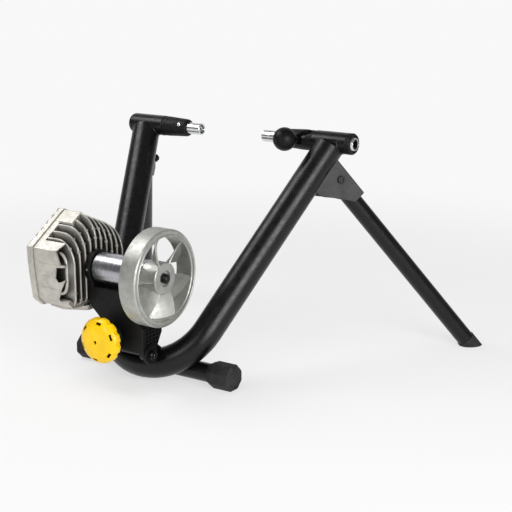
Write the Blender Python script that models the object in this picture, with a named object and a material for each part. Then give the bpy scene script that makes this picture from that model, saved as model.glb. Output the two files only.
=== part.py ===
"""Fluid bike trainer: a folding stand, a bolt-action axle clamp, and a swinging yoke that holds
a roller, a fan flywheel and a finned fluid resistance unit.

Metres, +Z up. The wheel's axle line runs along X at Y = AXLE_Y and Z = AXLE_HEIGHT, the roller
is on the -Y side, and the floor is Z = 0. The lengths called out and along are measured from
the joint or the axis that they belong to.
"""

from math import asin, atan2, cos, pi, radians, sin, sqrt

import bmesh
import bpy
from mathutils import Matrix, Vector

# Driving dimensions of the stand
AXLE_HEIGHT = 0.387
AXLE_Y = 0.08114
FRAME_TUBE_RADIUS = 0.0254
FRAME_TUBE_WALL = 0.0026
BEND_Y = -0.2751998
ARM_SPLAY = radians(15.14)
ARM_TOP_X = 0.2032
ARM_END_DROP = 0.010
ARM_TAPER_LENGTH = 0.030
ARM_TAPER = 1.0
FRAME_FLOOR_GAP = 0.0036
FRAME_LEAN = atan2(-BEND_Y, AXLE_HEIGHT - FRAME_TUBE_RADIUS - FRAME_FLOOR_GAP)

# Clearances between neighbours
GAP = 0.0003
RUN_GAP = 0.0006

# Axle clamps
SLEEVE_RADIUS = 0.0185
SLEEVE_BORE = 0.0155
LEFT_SLEEVE_INNER_X = 0.158
RIGHT_SLEEVE_INNER_X = 0.170
SLEEVE_OUTER_X = 0.238
SLEEVE_END_ROUND = 0.009
SLEEVE_END_WALL = 0.014
NOSE_TIP_X = 0.1037
NOSE_BACK_RADIUS = 0.0180
NOSE_FRONT_RADIUS = 0.0160
NOSE_SHANK_LENGTH = 0.030
NOSE_END_ROUND = 0.006
NOSE_PLAIN_FROM_TIP = 0.044
CUP_RADIUS = 0.0105
CUP_BORE = 0.0072
CUP_DEPTH = 0.014
LEFT_CUP_X = 0.0743
RIGHT_CUP_X = 0.0625
SET_SCREW_X = 0.118
SET_SCREW_RADIUS = 0.0035
SET_SCREW_ANGLE = radians(26.0)
PLUNGER_RADIUS = 0.0118
PLUNGER_LENGTH = 0.058
STEM_X = 0.1425
STEM_RADIUS = 0.0048
STEM_ANGLE = radians(7.5)
STEM_REACH = 0.058
BALL_RADIUS = 0.0203
CLAMP_TURN = radians(78.0)
CLAMP_TRAVEL = 0.022
SLOT_SIDE_ROOM = 0.0008
END_CAP_LENGTH = 0.0085
END_RING_RADIUS = 0.0138
END_RING_BORE = 0.0092
END_RING_TIP_RADIUS = 0.0105
END_RING_THICK = 0.0055
END_RING_PROUD = 0.0018
HEX_PLUG_FLATS = 0.0125
HEX_PLUG_DEPTH = 0.008
HEX_PLUG_LENGTH = 0.020

# Folding legs
FOOT_X = 0.385
FOOT_Y = 0.204
LEG_RADIUS = 0.0155
LEG_WALL = 0.0020
LEG_END_MARGIN = 0.0002
HINGE_DOWN = 0.047
HINGE_OUT = 0.0435
BRACKET_SHEET = 0.0030
BRACKET_SIDE_GAP = 0.0005
BRACKET_REACH = 0.049
BRACKET_ARM_EDGE = 0.022
BRACKET_HEEL_DROP = 0.044
BRACKET_HEEL_WIDTH = 0.011
BRACKET_THROAT_OUT = 0.0186
BRACKET_THROAT_DROP = 0.0266
BRACKET_TONGUE = 0.004
DETENT_OUT = 0.0166
DETENT_DROP = 0.0153
DETENT_RADIUS = 0.0026
DETENT_HEIGHT = 0.0010
LEG_BOLT_RADIUS = 0.0040
LEG_BOLT_HEAD_RADIUS = 0.0066
LEG_BOLT_HEAD_HEIGHT = 0.0045
LEG_NUT_FLATS = 0.013
LEG_NUT_HEIGHT = 0.0065
LEG_BOLT_TAIL = 0.0025
LEG_FOOT_WALL = 0.0013
LEG_FOOT_LENGTH = 0.018
LEG_FOOT_SOLE = 0.004

# Front foot bar
BAR_RADIUS = 0.016
BAR_WALL = 0.002
BAR_Y = -0.2405
BAR_HALF_LENGTH = 0.160
CAP_APOTHEM = 0.0215
CAP_LENGTH = 0.048
CAP_END_WALL = 0.006
CAP_NECK_RADIUS = 0.0185
CAP_NECK_LENGTH = 0.010
CAP_PANEL_DEPTH = 0.0012

# Yoke that swings on the frame
PIVOT_Y = -0.310
PIVOT_Z = 0.0595
PIVOT_BOLT_RADIUS = 0.005
PIVOT_DISC_RADIUS = 0.0155
PIVOT_DISC_THICK = 0.0035
PIVOT_NUT_FLATS = 0.015
PIVOT_NUT_HEIGHT = 0.007
LUG_HALF_WIDTH = 0.0350
LUG_CHEEK = 0.006
LUG_NOSE_RADIUS = 0.0108
LUG_TOP_Z = 0.102
LUG_FRONT_SETBACK = 0.005
LUG_BACK = 0.060
LUG_BACK_DROP = 0.022
LUG_TOP_BACK = 0.026
LUG_FRONT_CHAMFER = 0.004
LUG_FRONT_DROP = 0.010
LUG_FOOT_DROP = 0.020
LUG_CHANNEL = 0.030
BARREL_ROOM = 0.0065
PIVOT_HEAD_RADIUS = 0.009
PIVOT_BOLT_TAIL = 0.003
YOKE_HALF_WIDTH = 0.042
YOKE_WALL = 0.0055
YOKE_FRONT_Y = -0.327
YOKE_BACK_TOP_Y = -0.284
YOKE_WAIST_Z = 0.106
YOKE_SHOULDER_Z = 0.134
YOKE_NOSE_RADIUS = 0.0145
YOKE_RIGHT_X = 0.0345
SADDLE_GAP = 0.0030
MOUNT_SCREW_RADIUS = 0.0022
WAFFLE_DEPTH = 0.0020
WAFFLE_ROWS = 4
WAFFLE_COLUMNS = 3
WAFFLE_RIB = 0.0022

# Roller, flywheel and shaft
ROLLER_Y = -0.305
ROLLER_Z = 0.193
ROLLER_RADIUS = 0.0258
ROLLER_LEFT_X = -0.0610
ROLLER_RIGHT_X = 0.0410
ROLLER_WALL = 0.0030
ROLLER_WEB = 0.0060
SHAFT_RADIUS = 0.0060
FLYWHEEL_LEFT_X = 0.0420
FLYWHEEL_WIDTH = 0.0340
FLYWHEEL_RADIUS = 0.0810
RIM_THICK = 0.0120
RIM_BORE = FLYWHEEL_RADIUS - RIM_THICK
RIM_CHAMFER = 0.0022
FAN_HUB_RADIUS = 0.0270
HUB_RECESS_RADIUS = 0.0135
HUB_RECESS_DEPTH = 0.0040
HUB_FRONT_INSET = 0.0020
BLADE_COUNT = 6
BLADE_FIRST_ANGLE = radians(27.0)
BLADE_SWEEP = radians(42.0)
BLADE_SKEW = radians(13.0)
BLADE_THICK = 0.0032
BLADE_INSET = 0.0038
SHAFT_NUT_FLATS = 0.015
SHAFT_NUT_HEIGHT = 0.007
SHAFT_TAIL = 0.0025

# Bearing mount and fluid unit
MOUNT_LEFT_X = -0.0735
MOUNT_RIGHT_X = -0.0625
MOUNT_RADIUS = 0.0296
BEARING_RADIUS = 0.0140
BEARING_WIDTH = 0.0080
UNIT_SEAM_X = -0.145
UNIT_RIGHT_X = -0.0742
UNIT_WALL_X = 0.012
UNIT_BAND = 0.039
FLANGE_DROP = 0.0725
FLANGE_LEFT_DROP = 0.0660
FLANGE_THICK = 0.0085
FIN_FOOT = 0.015
FIN_SHOULDER_X = 0.036
FIN_SHOULDER_Z = 0.045
BASE_INSET = 0.006
SKIN_BACK_Y = -0.0560
FIN_COUNT = 11
FIN_PITCH = 0.0134
FIN_THICK = 0.0040
FIN_FIRST = -0.063
CORE_RADIUS = 0.046
CORE_END_X = -0.112
NECK_RADIUS = 0.024
CHAMBER_RADIUS = 0.0425
CHAMBER_DEPTH = 0.026
COVER_THICK = 0.0150
COVER_ROUND = 0.009
COVER_SLOT_DEPTH = 0.007
COVER_SCREW_COUNT = 6
COVER_SCREW_CIRCLE = 0.052
COVER_SCREW_RADIUS = 0.0022
COVER_SCREW_HEAD = 0.0042
COVER_SCREW_LENGTH = 0.014
IMPELLER_RADIUS = 0.040
IMPELLER_DISC = 0.003
IMPELLER_VANES = 8
IMPELLER_VANE_THICK = 0.0025
IMPELLER_VANE_DEPTH = 0.010
SEAL_RADIUS = 0.0100
SEAL_WIDTH = 0.0050

# Clutch knob and its draw bolt
KNOB_X = -0.0235
KNOB_Z = 0.0845
KNOB_RADIUS = 0.0390
KNOB_DEPTH = 0.0195
KNOB_BOSS_RADIUS = 0.0200
KNOB_BOSS_LENGTH = 0.0205
KNOB_LOBES = 12
KNOB_LOBE_DEPTH = 0.0013
KNOB_SLOTS = 6
KNOB_SLOT_LENGTH = 0.0092
KNOB_SLOT_WIDTH = 0.0042
KNOB_SLOT_CIRCLE = 0.028
KNOB_SLOT_FIRST = radians(-8.0)
KNOB_WALL = 0.0055
KNOB_CORE_RADIUS = KNOB_RADIUS - KNOB_WALL
DRAW_BOLT_RADIUS = 0.0045
THRUST_WASHER_RADIUS = 0.013
THRUST_WASHER_THICK = 0.0030
DRAW_BARREL_RADIUS = 0.0070
DRAW_BARREL_Y = -0.3010

# Facets on round pieces
ROUND = 24
SMALL_ROUND = 12

MATERIALS = {}


def at(x, y, z):
    """A point given from the axle line, whose Y is zero there."""
    return Vector((x, y + AXLE_Y, z))


def material(name, color, roughness, metallic):
    if name not in MATERIALS:
        new = bpy.data.materials.new(name)
        new.use_nodes = True
        shader = new.node_tree.nodes["Principled BSDF"]
        shader.inputs["Base Color"].default_value = (*color, 1.0)
        shader.inputs["Roughness"].default_value = roughness
        shader.inputs["Metallic"].default_value = metallic
        MATERIALS[name] = new
    return MATERIALS[name]


def black_paint():
    return material("black_paint", (0.018, 0.018, 0.019), 0.38, 0.0)


def bracket_paint():
    return material("bracket_paint", (0.045, 0.045, 0.047), 0.5, 0.0)


def black_casting():
    return material("black_casting", (0.015, 0.015, 0.016), 0.5, 0.0)


def rubber():
    return material("rubber", (0.02, 0.02, 0.02), 0.75, 0.0)


def bright_zinc():
    return material("bright_zinc", (0.75, 0.76, 0.77), 0.2, 1.0)


def dark_steel():
    return material("dark_steel", (0.05, 0.05, 0.052), 0.4, 0.8)


def cast_aluminium():
    return material("cast_aluminium", (0.5, 0.47, 0.42), 0.5, 0.9)


def roller_steel():
    return material("roller_steel", (0.6, 0.6, 0.64), 0.25, 1.0)


def yellow_plastic():
    return material("yellow_plastic", (0.95, 0.6, 0.01), 0.35, 0.0)


def mesh_of(thing):
    depsgraph = bpy.context.evaluated_depsgraph_get()
    return bpy.data.meshes.new_from_object(thing.evaluated_get(depsgraph))


def object_from(name, bm, transform=None):
    mesh = bpy.data.meshes.new(name)
    bm.to_mesh(mesh)
    bm.free()
    thing = bpy.data.objects.new(name, mesh)
    bpy.context.collection.objects.link(thing)
    if transform is not None:
        thing.matrix_world = transform
    return thing


def remove(thing):
    data = thing.data
    bpy.data.objects.remove(thing)
    if isinstance(data, bpy.types.Mesh):
        bpy.data.meshes.remove(data)
    else:
        bpy.data.curves.remove(data)


def combine(target, tool, operation):
    """Cut, join or intersect the target with the tool, and delete the tool."""
    modifier = target.modifiers.new("combine", "BOOLEAN")
    modifier.operation = operation
    modifier.solver = "EXACT"
    modifier.object = tool
    bpy.context.view_layer.update()
    mesh = mesh_of(target)
    bm = bmesh.new()
    bm.from_mesh(mesh)
    bmesh.ops.remove_doubles(bm, verts=bm.verts[:], dist=2e-6)
    bmesh.ops.dissolve_degenerate(bm, edges=bm.edges[:], dist=2e-6)
    bm.to_mesh(mesh)
    bm.free()
    old = target.data
    target.modifiers.clear()
    target.data = mesh
    bpy.data.meshes.remove(old)
    remove(tool)
    return target


def cut(target, *tools):
    for tool in tools:
        combine(target, tool, "DIFFERENCE")
    return target


def join(target, *tools):
    for tool in tools:
        combine(target, tool, "UNION")
    return target


def finish(thing, surface, parent=None, sharp=30.0):
    """Shade the piece, give it its material and hang it on its joint's empty."""
    thing.data.materials.clear()
    thing.data.materials.append(surface)
    thing.data.shade_smooth()
    thing.data.set_sharp_from_angle(angle=radians(sharp))
    if parent is not None:
        bpy.context.view_layer.update()
        thing.parent = parent
        thing.matrix_parent_inverse = parent.matrix_world.inverted()
    return thing


def joint_empty(name, transform, parent=None):
    empty = bpy.data.objects.new(name, None)
    empty.empty_display_size = 0.03
    bpy.context.collection.objects.link(empty)
    empty.matrix_world = transform
    bpy.context.view_layer.update()
    if parent is not None:
        empty.parent = parent
        empty.matrix_parent_inverse = parent.matrix_world.inverted()
    return empty


def basis(origin, along, across):
    """A placement whose X runs along and whose Y leans towards across."""
    x_axis = along.normalized()
    z_axis = x_axis.cross(across).normalized()
    y_axis = z_axis.cross(x_axis)
    turn = Matrix((x_axis, y_axis, z_axis)).transposed().to_4x4()
    return Matrix.Translation(origin) @ turn


def turned(name, profile, transform, sides=ROUND, phase=0.0):
    """A turned piece about its own X. The profile lists (x, radius) points: from axis to axis
    for a solid, or a closed ring of points that stay off the axis."""
    bm = bmesh.new()
    start = Matrix.Rotation(phase, 3, "X")
    points = [bm.verts.new(start @ Vector((x, 0.0, r))) for x, r in profile]
    pairs = list(zip(points, points[1:]))
    if profile[0][1] > 0.0 and profile[-1][1] > 0.0:
        pairs.append((points[-1], points[0]))
    for one, two in pairs:
        bm.edges.new((one, two))
    bmesh.ops.spin(bm, geom=bm.verts[:] + bm.edges[:], cent=(0, 0, 0), axis=(1, 0, 0),
                   dvec=(0, 0, 0), angle=2 * pi, steps=sides, use_merge=True)
    bmesh.ops.remove_doubles(bm, verts=bm.verts[:], dist=1e-6)
    bmesh.ops.recalc_face_normals(bm, faces=bm.faces[:])
    return object_from(name, bm, transform)


def rod(name, start, end, radius, transform, sides=ROUND):
    return turned(name, [(start, 0.0), (start, radius), (end, radius), (end, 0.0)], transform, sides)


def ring(name, start, end, radius, bore, transform, sides=ROUND):
    profile = [(start, bore), (start, radius), (end, radius), (end, bore)]
    return turned(name, profile, transform, sides)


def hexagon(name, start, end, flats, transform):
    return rod(name, start, end, flats / sqrt(3.0), transform, 6)


def extruded(name, outline, depth_from, depth_to, transform):
    """A flat outline in the piece's own X and Y, extruded along its Z."""
    bm = bmesh.new()
    base = [bm.verts.new((x, y, depth_from)) for x, y in outline]
    face = bm.faces.new(base)
    solid = bmesh.ops.extrude_face_region(bm, geom=[face])
    raised = [item for item in solid["geom"] if isinstance(item, bmesh.types.BMVert)]
    bmesh.ops.translate(bm, verts=raised, vec=(0, 0, depth_to - depth_from))
    bmesh.ops.recalc_face_normals(bm, faces=bm.faces[:])
    return object_from(name, bm, transform)


def block(name, low, high, transform=None):
    bm = bmesh.new()
    bmesh.ops.create_cube(bm, size=1.0)
    size = [high[i] - low[i] for i in range(3)]
    middle = [(high[i] + low[i]) / 2 for i in range(3)]
    bmesh.ops.scale(bm, verts=bm.verts[:], vec=size)
    bmesh.ops.translate(bm, verts=bm.verts[:], vec=middle)
    return object_from(name, bm, transform)


def bevel_edges(thing, width, segments, keep):
    """Round the edges of a piece for which keep(edge) is true."""
    bm = bmesh.new()
    bm.from_mesh(thing.data)
    edges = [edge for edge in bm.edges if keep(edge)]
    bmesh.ops.bevel(bm, geom=edges, offset=width, segments=segments, profile=0.5,
                    affect="EDGES", clamp_overlap=True, material=-1)
    bm.to_mesh(thing.data)
    bm.free()
    return thing


def swept_tube(name, points, radius, scales=None, resolution=4):
    """A round bar along a list of points, made as a bevelled curve and turned into a mesh."""
    curve = bpy.data.curves.new(name, "CURVE")
    curve.dimensions = "3D"
    curve.bevel_depth = radius
    curve.bevel_resolution = resolution
    curve.use_fill_caps = True
    spline = curve.splines.new("POLY")
    spline.points.add(len(points) - 1)
    for index, point in enumerate(points):
        spline.points[index].co = (*point, 1.0)
        spline.points[index].radius = scales[index] if scales else 1.0
    source = bpy.data.objects.new(name, curve)
    bpy.context.collection.objects.link(source)
    bpy.context.view_layer.update()
    mesh = mesh_of(source)
    remove(source)
    bm = bmesh.new()
    bm.from_mesh(mesh)
    bpy.data.meshes.remove(mesh)
    bmesh.ops.remove_doubles(bm, verts=bm.verts[:], dist=1e-6)
    bmesh.ops.recalc_face_normals(bm, faces=bm.faces[:])
    return object_from(name, bm)


# The stand: a U of one bent tube that leans back, with a sleeve on each arm

def plane_top():
    return AXLE_HEIGHT / cos(FRAME_LEAN)


def plane_low():
    return (FRAME_TUBE_RADIUS + FRAME_FLOOR_GAP) / cos(FRAME_LEAN)


def plane_point(x, rise):
    """A point of the leaning plane of the U, at a rise measured up the slope."""
    return at(x, (rise - plane_top()) * sin(FRAME_LEAN), rise * cos(FRAME_LEAN))


def bend_radius():
    """The bend that meets both straight arms and reaches down to the floor gap."""
    reach = plane_top() - plane_low()
    return (ARM_TOP_X * cos(ARM_SPLAY) - reach * sin(ARM_SPLAY)) / (1.0 - sin(ARM_SPLAY))


def arm_direction(side):
    return Vector((side * sin(ARM_SPLAY),
                   cos(ARM_SPLAY) * sin(FRAME_LEAN),
                   cos(ARM_SPLAY) * cos(FRAME_LEAN)))


def arm_top(side):
    return at(side * ARM_TOP_X, 0.0, AXLE_HEIGHT)


def frame_path(end_drop):
    """Points and radius scales of the U from the left arm's top to the right arm's top."""
    radius = bend_radius()
    centre = plane_low() + radius
    half_turn = pi / 2 - ARM_SPLAY
    steps = 9
    right = []
    for index in range(steps + 1):
        angle = half_turn * index / steps
        right.append((plane_point(radius * sin(angle), centre - radius * cos(angle)), 1.0))
    taper_start = arm_top(1) - arm_direction(1) * (end_drop + ARM_TAPER_LENGTH)
    right.append((taper_start, 1.0))
    right.append((taper_start + arm_direction(1) * ARM_TAPER_LENGTH * 0.5, (1.0 + ARM_TAPER) / 2))
    right.append((arm_top(1) - arm_direction(1) * end_drop, ARM_TAPER))
    left = [(Vector((-point.x, point.y, point.z)), scale) for point, scale in right[1:]]
    path = list(reversed(left)) + right
    return [point for point, scale in path], [scale for point, scale in path]


def axle_line(x=0.0):
    """A placement on the axle line, whose X runs along it."""
    return Matrix.Translation(at(x, 0.0, AXLE_HEIGHT))


def make_main_frame():
    points, scales = frame_path(ARM_END_DROP)
    tube = swept_tube("main_frame", points, FRAME_TUBE_RADIUS, scales)
    bore_scale = (FRAME_TUBE_RADIUS - FRAME_TUBE_WALL) / FRAME_TUBE_RADIUS
    inner_points, inner_scales = frame_path(ARM_END_DROP - 0.001)
    bore = swept_tube("bore", inner_points, FRAME_TUBE_RADIUS * bore_scale, inner_scales, 3)
    cut(tube, bore)
    reach = SLEEVE_OUTER_X + 0.02
    cut(tube, rod("cope", -reach, reach, SLEEVE_RADIUS + GAP, axle_line()))
    return finish(tube, black_paint())


def make_sleeves():
    outer = SLEEVE_OUTER_X
    corner = [(outer - SLEEVE_END_ROUND + SLEEVE_END_ROUND * sin(radians(step)),
               SLEEVE_RADIUS - SLEEVE_END_ROUND + SLEEVE_END_ROUND * cos(radians(step)))
              for step in (0, 30, 60, 90)]
    profile = [(LEFT_SLEEVE_INNER_X, SLEEVE_BORE), (LEFT_SLEEVE_INNER_X, SLEEVE_RADIUS)] + corner
    profile += [(outer, 0.0)]
    inside = [(outer - SLEEVE_END_WALL, 0.0), (outer - SLEEVE_END_WALL, SLEEVE_BORE)]
    closed = inside + profile
    flip = axle_line() @ Matrix.Rotation(pi, 4, "Z")
    finish(turned("left_sleeve", closed, flip), black_paint())
    right = ring("right_sleeve", RIGHT_SLEEVE_INNER_X, outer, SLEEVE_RADIUS, SLEEVE_BORE, axle_line())
    cut(right, slot_cutter())
    finish(right, black_paint())


def nose_profile(sleeve_start):
    """The tapered nose that carries a cup, from its shank in the sleeve to its rounded end."""
    back = sleeve_start - GAP
    front = NOSE_TIP_X
    bore = PLUNGER_RADIUS + RUN_GAP
    corner = [(front + NOSE_END_ROUND - NOSE_END_ROUND * sin(radians(step)),
               NOSE_FRONT_RADIUS - NOSE_END_ROUND * 0.6 * (1 - cos(radians(step))))
              for step in (0, 45, 90)]
    lip = CUP_RADIUS + RUN_GAP
    return [(back + NOSE_SHANK_LENGTH, bore), (back + NOSE_SHANK_LENGTH, SLEEVE_BORE - GAP),
            (back, SLEEVE_BORE - GAP), (back, NOSE_BACK_RADIUS),
            (NOSE_TIP_X + NOSE_PLAIN_FROM_TIP, NOSE_BACK_RADIUS)] + corner + [(front, lip), (front + 0.006, lip),
                                                          (front + 0.006, bore)]


def cup_profile(tip, length):
    """An axle cup: open towards the wheel, with a chamfered rim and a solid shank."""
    chamfer = 0.0010
    return [(tip + length, 0.0), (tip + length, CUP_RADIUS), (tip + chamfer, CUP_RADIUS),
            (tip, CUP_RADIUS - chamfer), (tip, CUP_BORE + chamfer),
            (tip + chamfer, CUP_BORE), (tip + CUP_DEPTH, CUP_BORE), (tip + CUP_DEPTH + 0.004, 0.0)]


def make_left_clamp():
    flip = axle_line() @ Matrix.Rotation(pi, 4, "Z")
    nose = turned("left_nose", nose_profile(LEFT_SLEEVE_INNER_X), flip)
    radial = Vector((0.0, -cos(SET_SCREW_ANGLE), sin(SET_SCREW_ANGLE)))
    seat = at(-SET_SCREW_X, 0.0, AXLE_HEIGHT)
    screw_axis = basis(seat, radial, Vector((1, 0, 0)))
    cut(nose, rod("hole", CUP_RADIUS, 0.03, SET_SCREW_RADIUS + GAP, screw_axis, SMALL_ROUND))
    finish(nose, black_casting())
    back = LEFT_SLEEVE_INNER_X + NOSE_SHANK_LENGTH - GAP
    profile = cup_profile(LEFT_CUP_X, back - LEFT_CUP_X)
    shoulder = NOSE_TIP_X + 0.006 + GAP
    profile = [(back, 0.0), (back, PLUNGER_RADIUS), (shoulder, PLUNGER_RADIUS),
               (shoulder, CUP_RADIUS)] + profile[2:]
    cup = turned("left_cup", profile, flip)
    finish(cup, bright_zinc())
    screw = rod("left_set_screw", PLUNGER_RADIUS + GAP, PLUNGER_RADIUS + GAP + 0.0045,
                SET_SCREW_RADIUS, screw_axis, SMALL_ROUND)
    cut(screw, hexagon("key", PLUNGER_RADIUS + 0.0028, 0.03, 0.003, screw_axis))
    finish(screw, bright_zinc())


def slot_cutter():
    """The bolt-action slot: a radial wedge swept along a short helix about the axle line."""
    slope = CLAMP_TRAVEL / (CLAMP_TURN * PLUNGER_RADIUS)
    half = (STEM_RADIUS + SLOT_SIDE_ROOM) * sqrt(1.0 + slope * slope)
    inner = PLUNGER_RADIUS * 0.6
    outer = SLEEVE_RADIUS * 1.5
    steps = 14
    lead_in = asin((STEM_RADIUS + RUN_GAP) / PLUNGER_RADIUS)
    bm = bmesh.new()
    rings = []
    for index in range(steps + 1):
        share = index / steps
        angle = STEM_ANGLE - lead_in + (CLAMP_TURN + 2 * lead_in) * share
        turn = min(max((angle - STEM_ANGLE) / CLAMP_TURN, 0.0), 1.0)
        middle = STEM_X + CLAMP_TRAVEL * turn
        radial = Vector((0.0, -cos(angle), sin(angle)))
        rings.append([bm.verts.new(Vector((middle + dx, 0, 0)) + radial * reach)
                      for dx, reach in ((-half, inner), (half, inner), (half, outer), (-half, outer))])
    for one, two in zip(rings, rings[1:]):
        for corner in range(4):
            after = (corner + 1) % 4
            bm.faces.new((one[corner], one[after], two[after], two[corner]))
    bm.faces.new(rings[0])
    bm.faces.new(rings[-1])
    bmesh.ops.triangulate(bm, faces=bm.faces[:])
    bmesh.ops.recalc_face_normals(bm, faces=bm.faces[:])
    return object_from("slot", bm, axle_line())


def make_right_clamp():
    nose = turned("right_nose", nose_profile(RIGHT_SLEEVE_INNER_X), axle_line())
    cut(nose, slot_cutter())
    finish(nose, black_casting())

    slide = joint_empty("right_cup_slide", axle_line(RIGHT_CUP_X))
    hinge = joint_empty("clamp_handle_hinge", axle_line(STEM_X), slide)
    shank_radius = 0.0070
    meet = STEM_X - 0.014
    tip = cup_profile(RIGHT_CUP_X, meet - GAP - RIGHT_CUP_X)
    finish(turned("right_cup", tip, axle_line()), bright_zinc(), slide)
    plunger_end = meet + PLUNGER_LENGTH
    plunger = turned("clamp_plunger", [(meet, 0.0), (meet, CUP_RADIUS - 0.001),
                                       (meet + 0.001, CUP_RADIUS), (meet + 0.004, PLUNGER_RADIUS),
                                       (plunger_end - 0.002, PLUNGER_RADIUS),
                                       (plunger_end, shank_radius), (plunger_end, 0.0)],
                     axle_line())
    radial = Vector((0.0, -cos(STEM_ANGLE), sin(STEM_ANGLE)))
    stem_axis = basis(at(STEM_X, 0.0, AXLE_HEIGHT), radial, Vector((1, 0, 0)))
    stem_foot = 0.002
    cut(plunger, rod("socket", stem_foot - GAP, 0.03, STEM_RADIUS + GAP, stem_axis, SMALL_ROUND))
    finish(plunger, bright_zinc(), hinge)
    stem_end = STEM_REACH + 0.002
    stem = rod("clamp_stem", stem_foot, stem_end, STEM_RADIUS, stem_axis, SMALL_ROUND)
    finish(stem, dark_steel(), hinge)
    bm = bmesh.new()
    bmesh.ops.create_uvsphere(bm, u_segments=18, v_segments=10, radius=BALL_RADIUS)
    spot = stem_axis @ Matrix.Translation((STEM_REACH, 0, 0)) @ Matrix.Rotation(pi / 2, 4, "Y")
    ball = object_from("clamp_ball", bm, spot)
    neck = STEM_REACH - BALL_RADIUS - 0.004
    join(ball, rod("collar", neck, STEM_REACH - BALL_RADIUS * 0.6, STEM_RADIUS * 1.75, stem_axis,
                   SMALL_ROUND))
    cut(ball, rod("socket", neck - 0.01, stem_end + GAP, STEM_RADIUS + GAP, stem_axis, SMALL_ROUND))
    finish(ball, black_casting(), hinge)


def make_right_end():
    start = SLEEVE_OUTER_X + GAP
    end = start + END_CAP_LENGTH
    seat = END_RING_RADIUS + GAP
    ring_end = end + END_RING_PROUD
    ring_start = ring_end - END_RING_THICK
    floor = ring_start - GAP
    cap = turned("right_end_cap", [(start - 0.012, END_RING_BORE + GAP), (start - 0.012, SLEEVE_BORE - GAP),
                                   (start, SLEEVE_BORE - GAP), (start, SLEEVE_RADIUS),
                                   (end - 0.003, SLEEVE_RADIUS), (end, SLEEVE_RADIUS - 0.002),
                                   (end, seat), (floor, seat), (floor, END_RING_BORE + GAP)], axle_line())
    finish(cap, black_casting())
    bright = turned("right_end_ring", [(ring_start, END_RING_BORE), (ring_start, END_RING_RADIUS),
                                       (ring_end, END_RING_TIP_RADIUS), (ring_end, END_RING_BORE)], axle_line())
    finish(bright, bright_zinc())
    plug = rod("right_hex_plug", ring_end - HEX_PLUG_LENGTH, ring_end - 0.0004,
               END_RING_BORE - GAP, axle_line(), 24)
    cut(plug, hexagon("key", ring_end - HEX_PLUG_DEPTH, ring_end + 0.01, HEX_PLUG_FLATS, axle_line()))
    finish(plug, dark_steel())


# Folding legs: a channel bracket on each arm, a tube that turns in it, and a rubber foot

def leg_layout(side):
    """The hinge, the leg's direction and the bracket's placement for one side."""
    up_arm = arm_direction(side)
    on_arm = arm_top(side) - up_arm * HINGE_DOWN
    foot = at(side * FOOT_X, FOOT_Y, 0.0)
    out = foot - on_arm
    out = (out - up_arm * out.dot(up_arm)).normalized()
    hinge = on_arm + out * HINGE_OUT
    along = (foot - hinge).normalized()
    bracket = basis(hinge, out, up_arm)
    return hinge, foot, along, bracket


def fold_axis(side):
    hinge, foot, along, bracket = leg_layout(side)
    return along.cross(-arm_direction(side)).normalized()


def bracket_outline(side, perp):
    """The cheek of the channel: its top follows the leg at the distance perp."""
    hinge, foot, along, bracket = leg_layout(side)
    local = bracket.to_3x3().transposed() @ along
    run = Vector((local.x, local.y))
    up = Vector((-run.y, run.x))
    near = -(BRACKET_ARM_EDGE + 0.010)
    start = (near - up.x * perp) / run.x
    top_near = run * start + up * perp
    top_far = run * BRACKET_REACH + up * perp
    low_far = run * BRACKET_REACH - up * BRACKET_TONGUE
    return [(top_near.x, top_near.y), (near, -BRACKET_HEEL_DROP), (-BRACKET_HEEL_WIDTH, -BRACKET_HEEL_DROP),
            (BRACKET_THROAT_OUT, -BRACKET_THROAT_DROP), (low_far.x, low_far.y), (top_far.x, top_far.y)]


def make_leg_bracket(side, name):
    hinge, foot, along, frame = leg_layout(side)
    inner = LEG_RADIUS + BRACKET_SIDE_GAP
    outer = inner + BRACKET_SHEET
    body = extruded(name, bracket_outline(side, outer), -outer, outer, frame)
    bevel_edges(body, 0.005, 3, lambda edge: is_heel(edge, outer))
    local = frame.to_3x3().transposed() @ along
    run = Vector((local.x, local.y))
    up = Vector((-run.y, run.x))
    wide = 0.12
    hollow = [run * -wide + up * inner, run * -wide - up * wide, run * wide - up * wide, run * wide + up * inner]
    cut(body, extruded("hollow", [(p.x, p.y) for p in hollow], -inner, inner, frame))
    up_arm = arm_direction(side)
    arm = basis(arm_top(side), up_arm, Vector((0, 1, 0)))
    cut(body, rod("arm", -0.2, 0.02, FRAME_TUBE_RADIUS + GAP, arm))
    pin = frame @ Matrix.Rotation(-pi / 2, 4, "Y")
    cut(body, rod("bolt_hole", -0.05, 0.05, LEG_BOLT_RADIUS + GAP, pin, SMALL_ROUND))
    for face in (-1, 1):
        spot = frame @ Matrix.Translation((DETENT_OUT, -DETENT_DROP, 0)) @ Matrix.Rotation(-pi / 2, 4, "Y")
        join(body, rod("detent", min(face * (outer - 0.001), face * (outer + DETENT_HEIGHT)),
                       max(face * (outer - 0.001), face * (outer + DETENT_HEIGHT)),
                       DETENT_RADIUS, spot, 12))
    finish(body, bracket_paint())


def is_heel(edge, outer):
    """The cheek's lower corners, which are rounded."""
    one, two = edge.verts
    across = abs(one.co.z - two.co.z) > outer
    return across and one.co.y < -0.02 and two.co.y < -0.02


def leg_floor_cutter(height):
    return block("floor", (-1.0, -1.0, -0.3), (1.0, 1.0, height))


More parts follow.
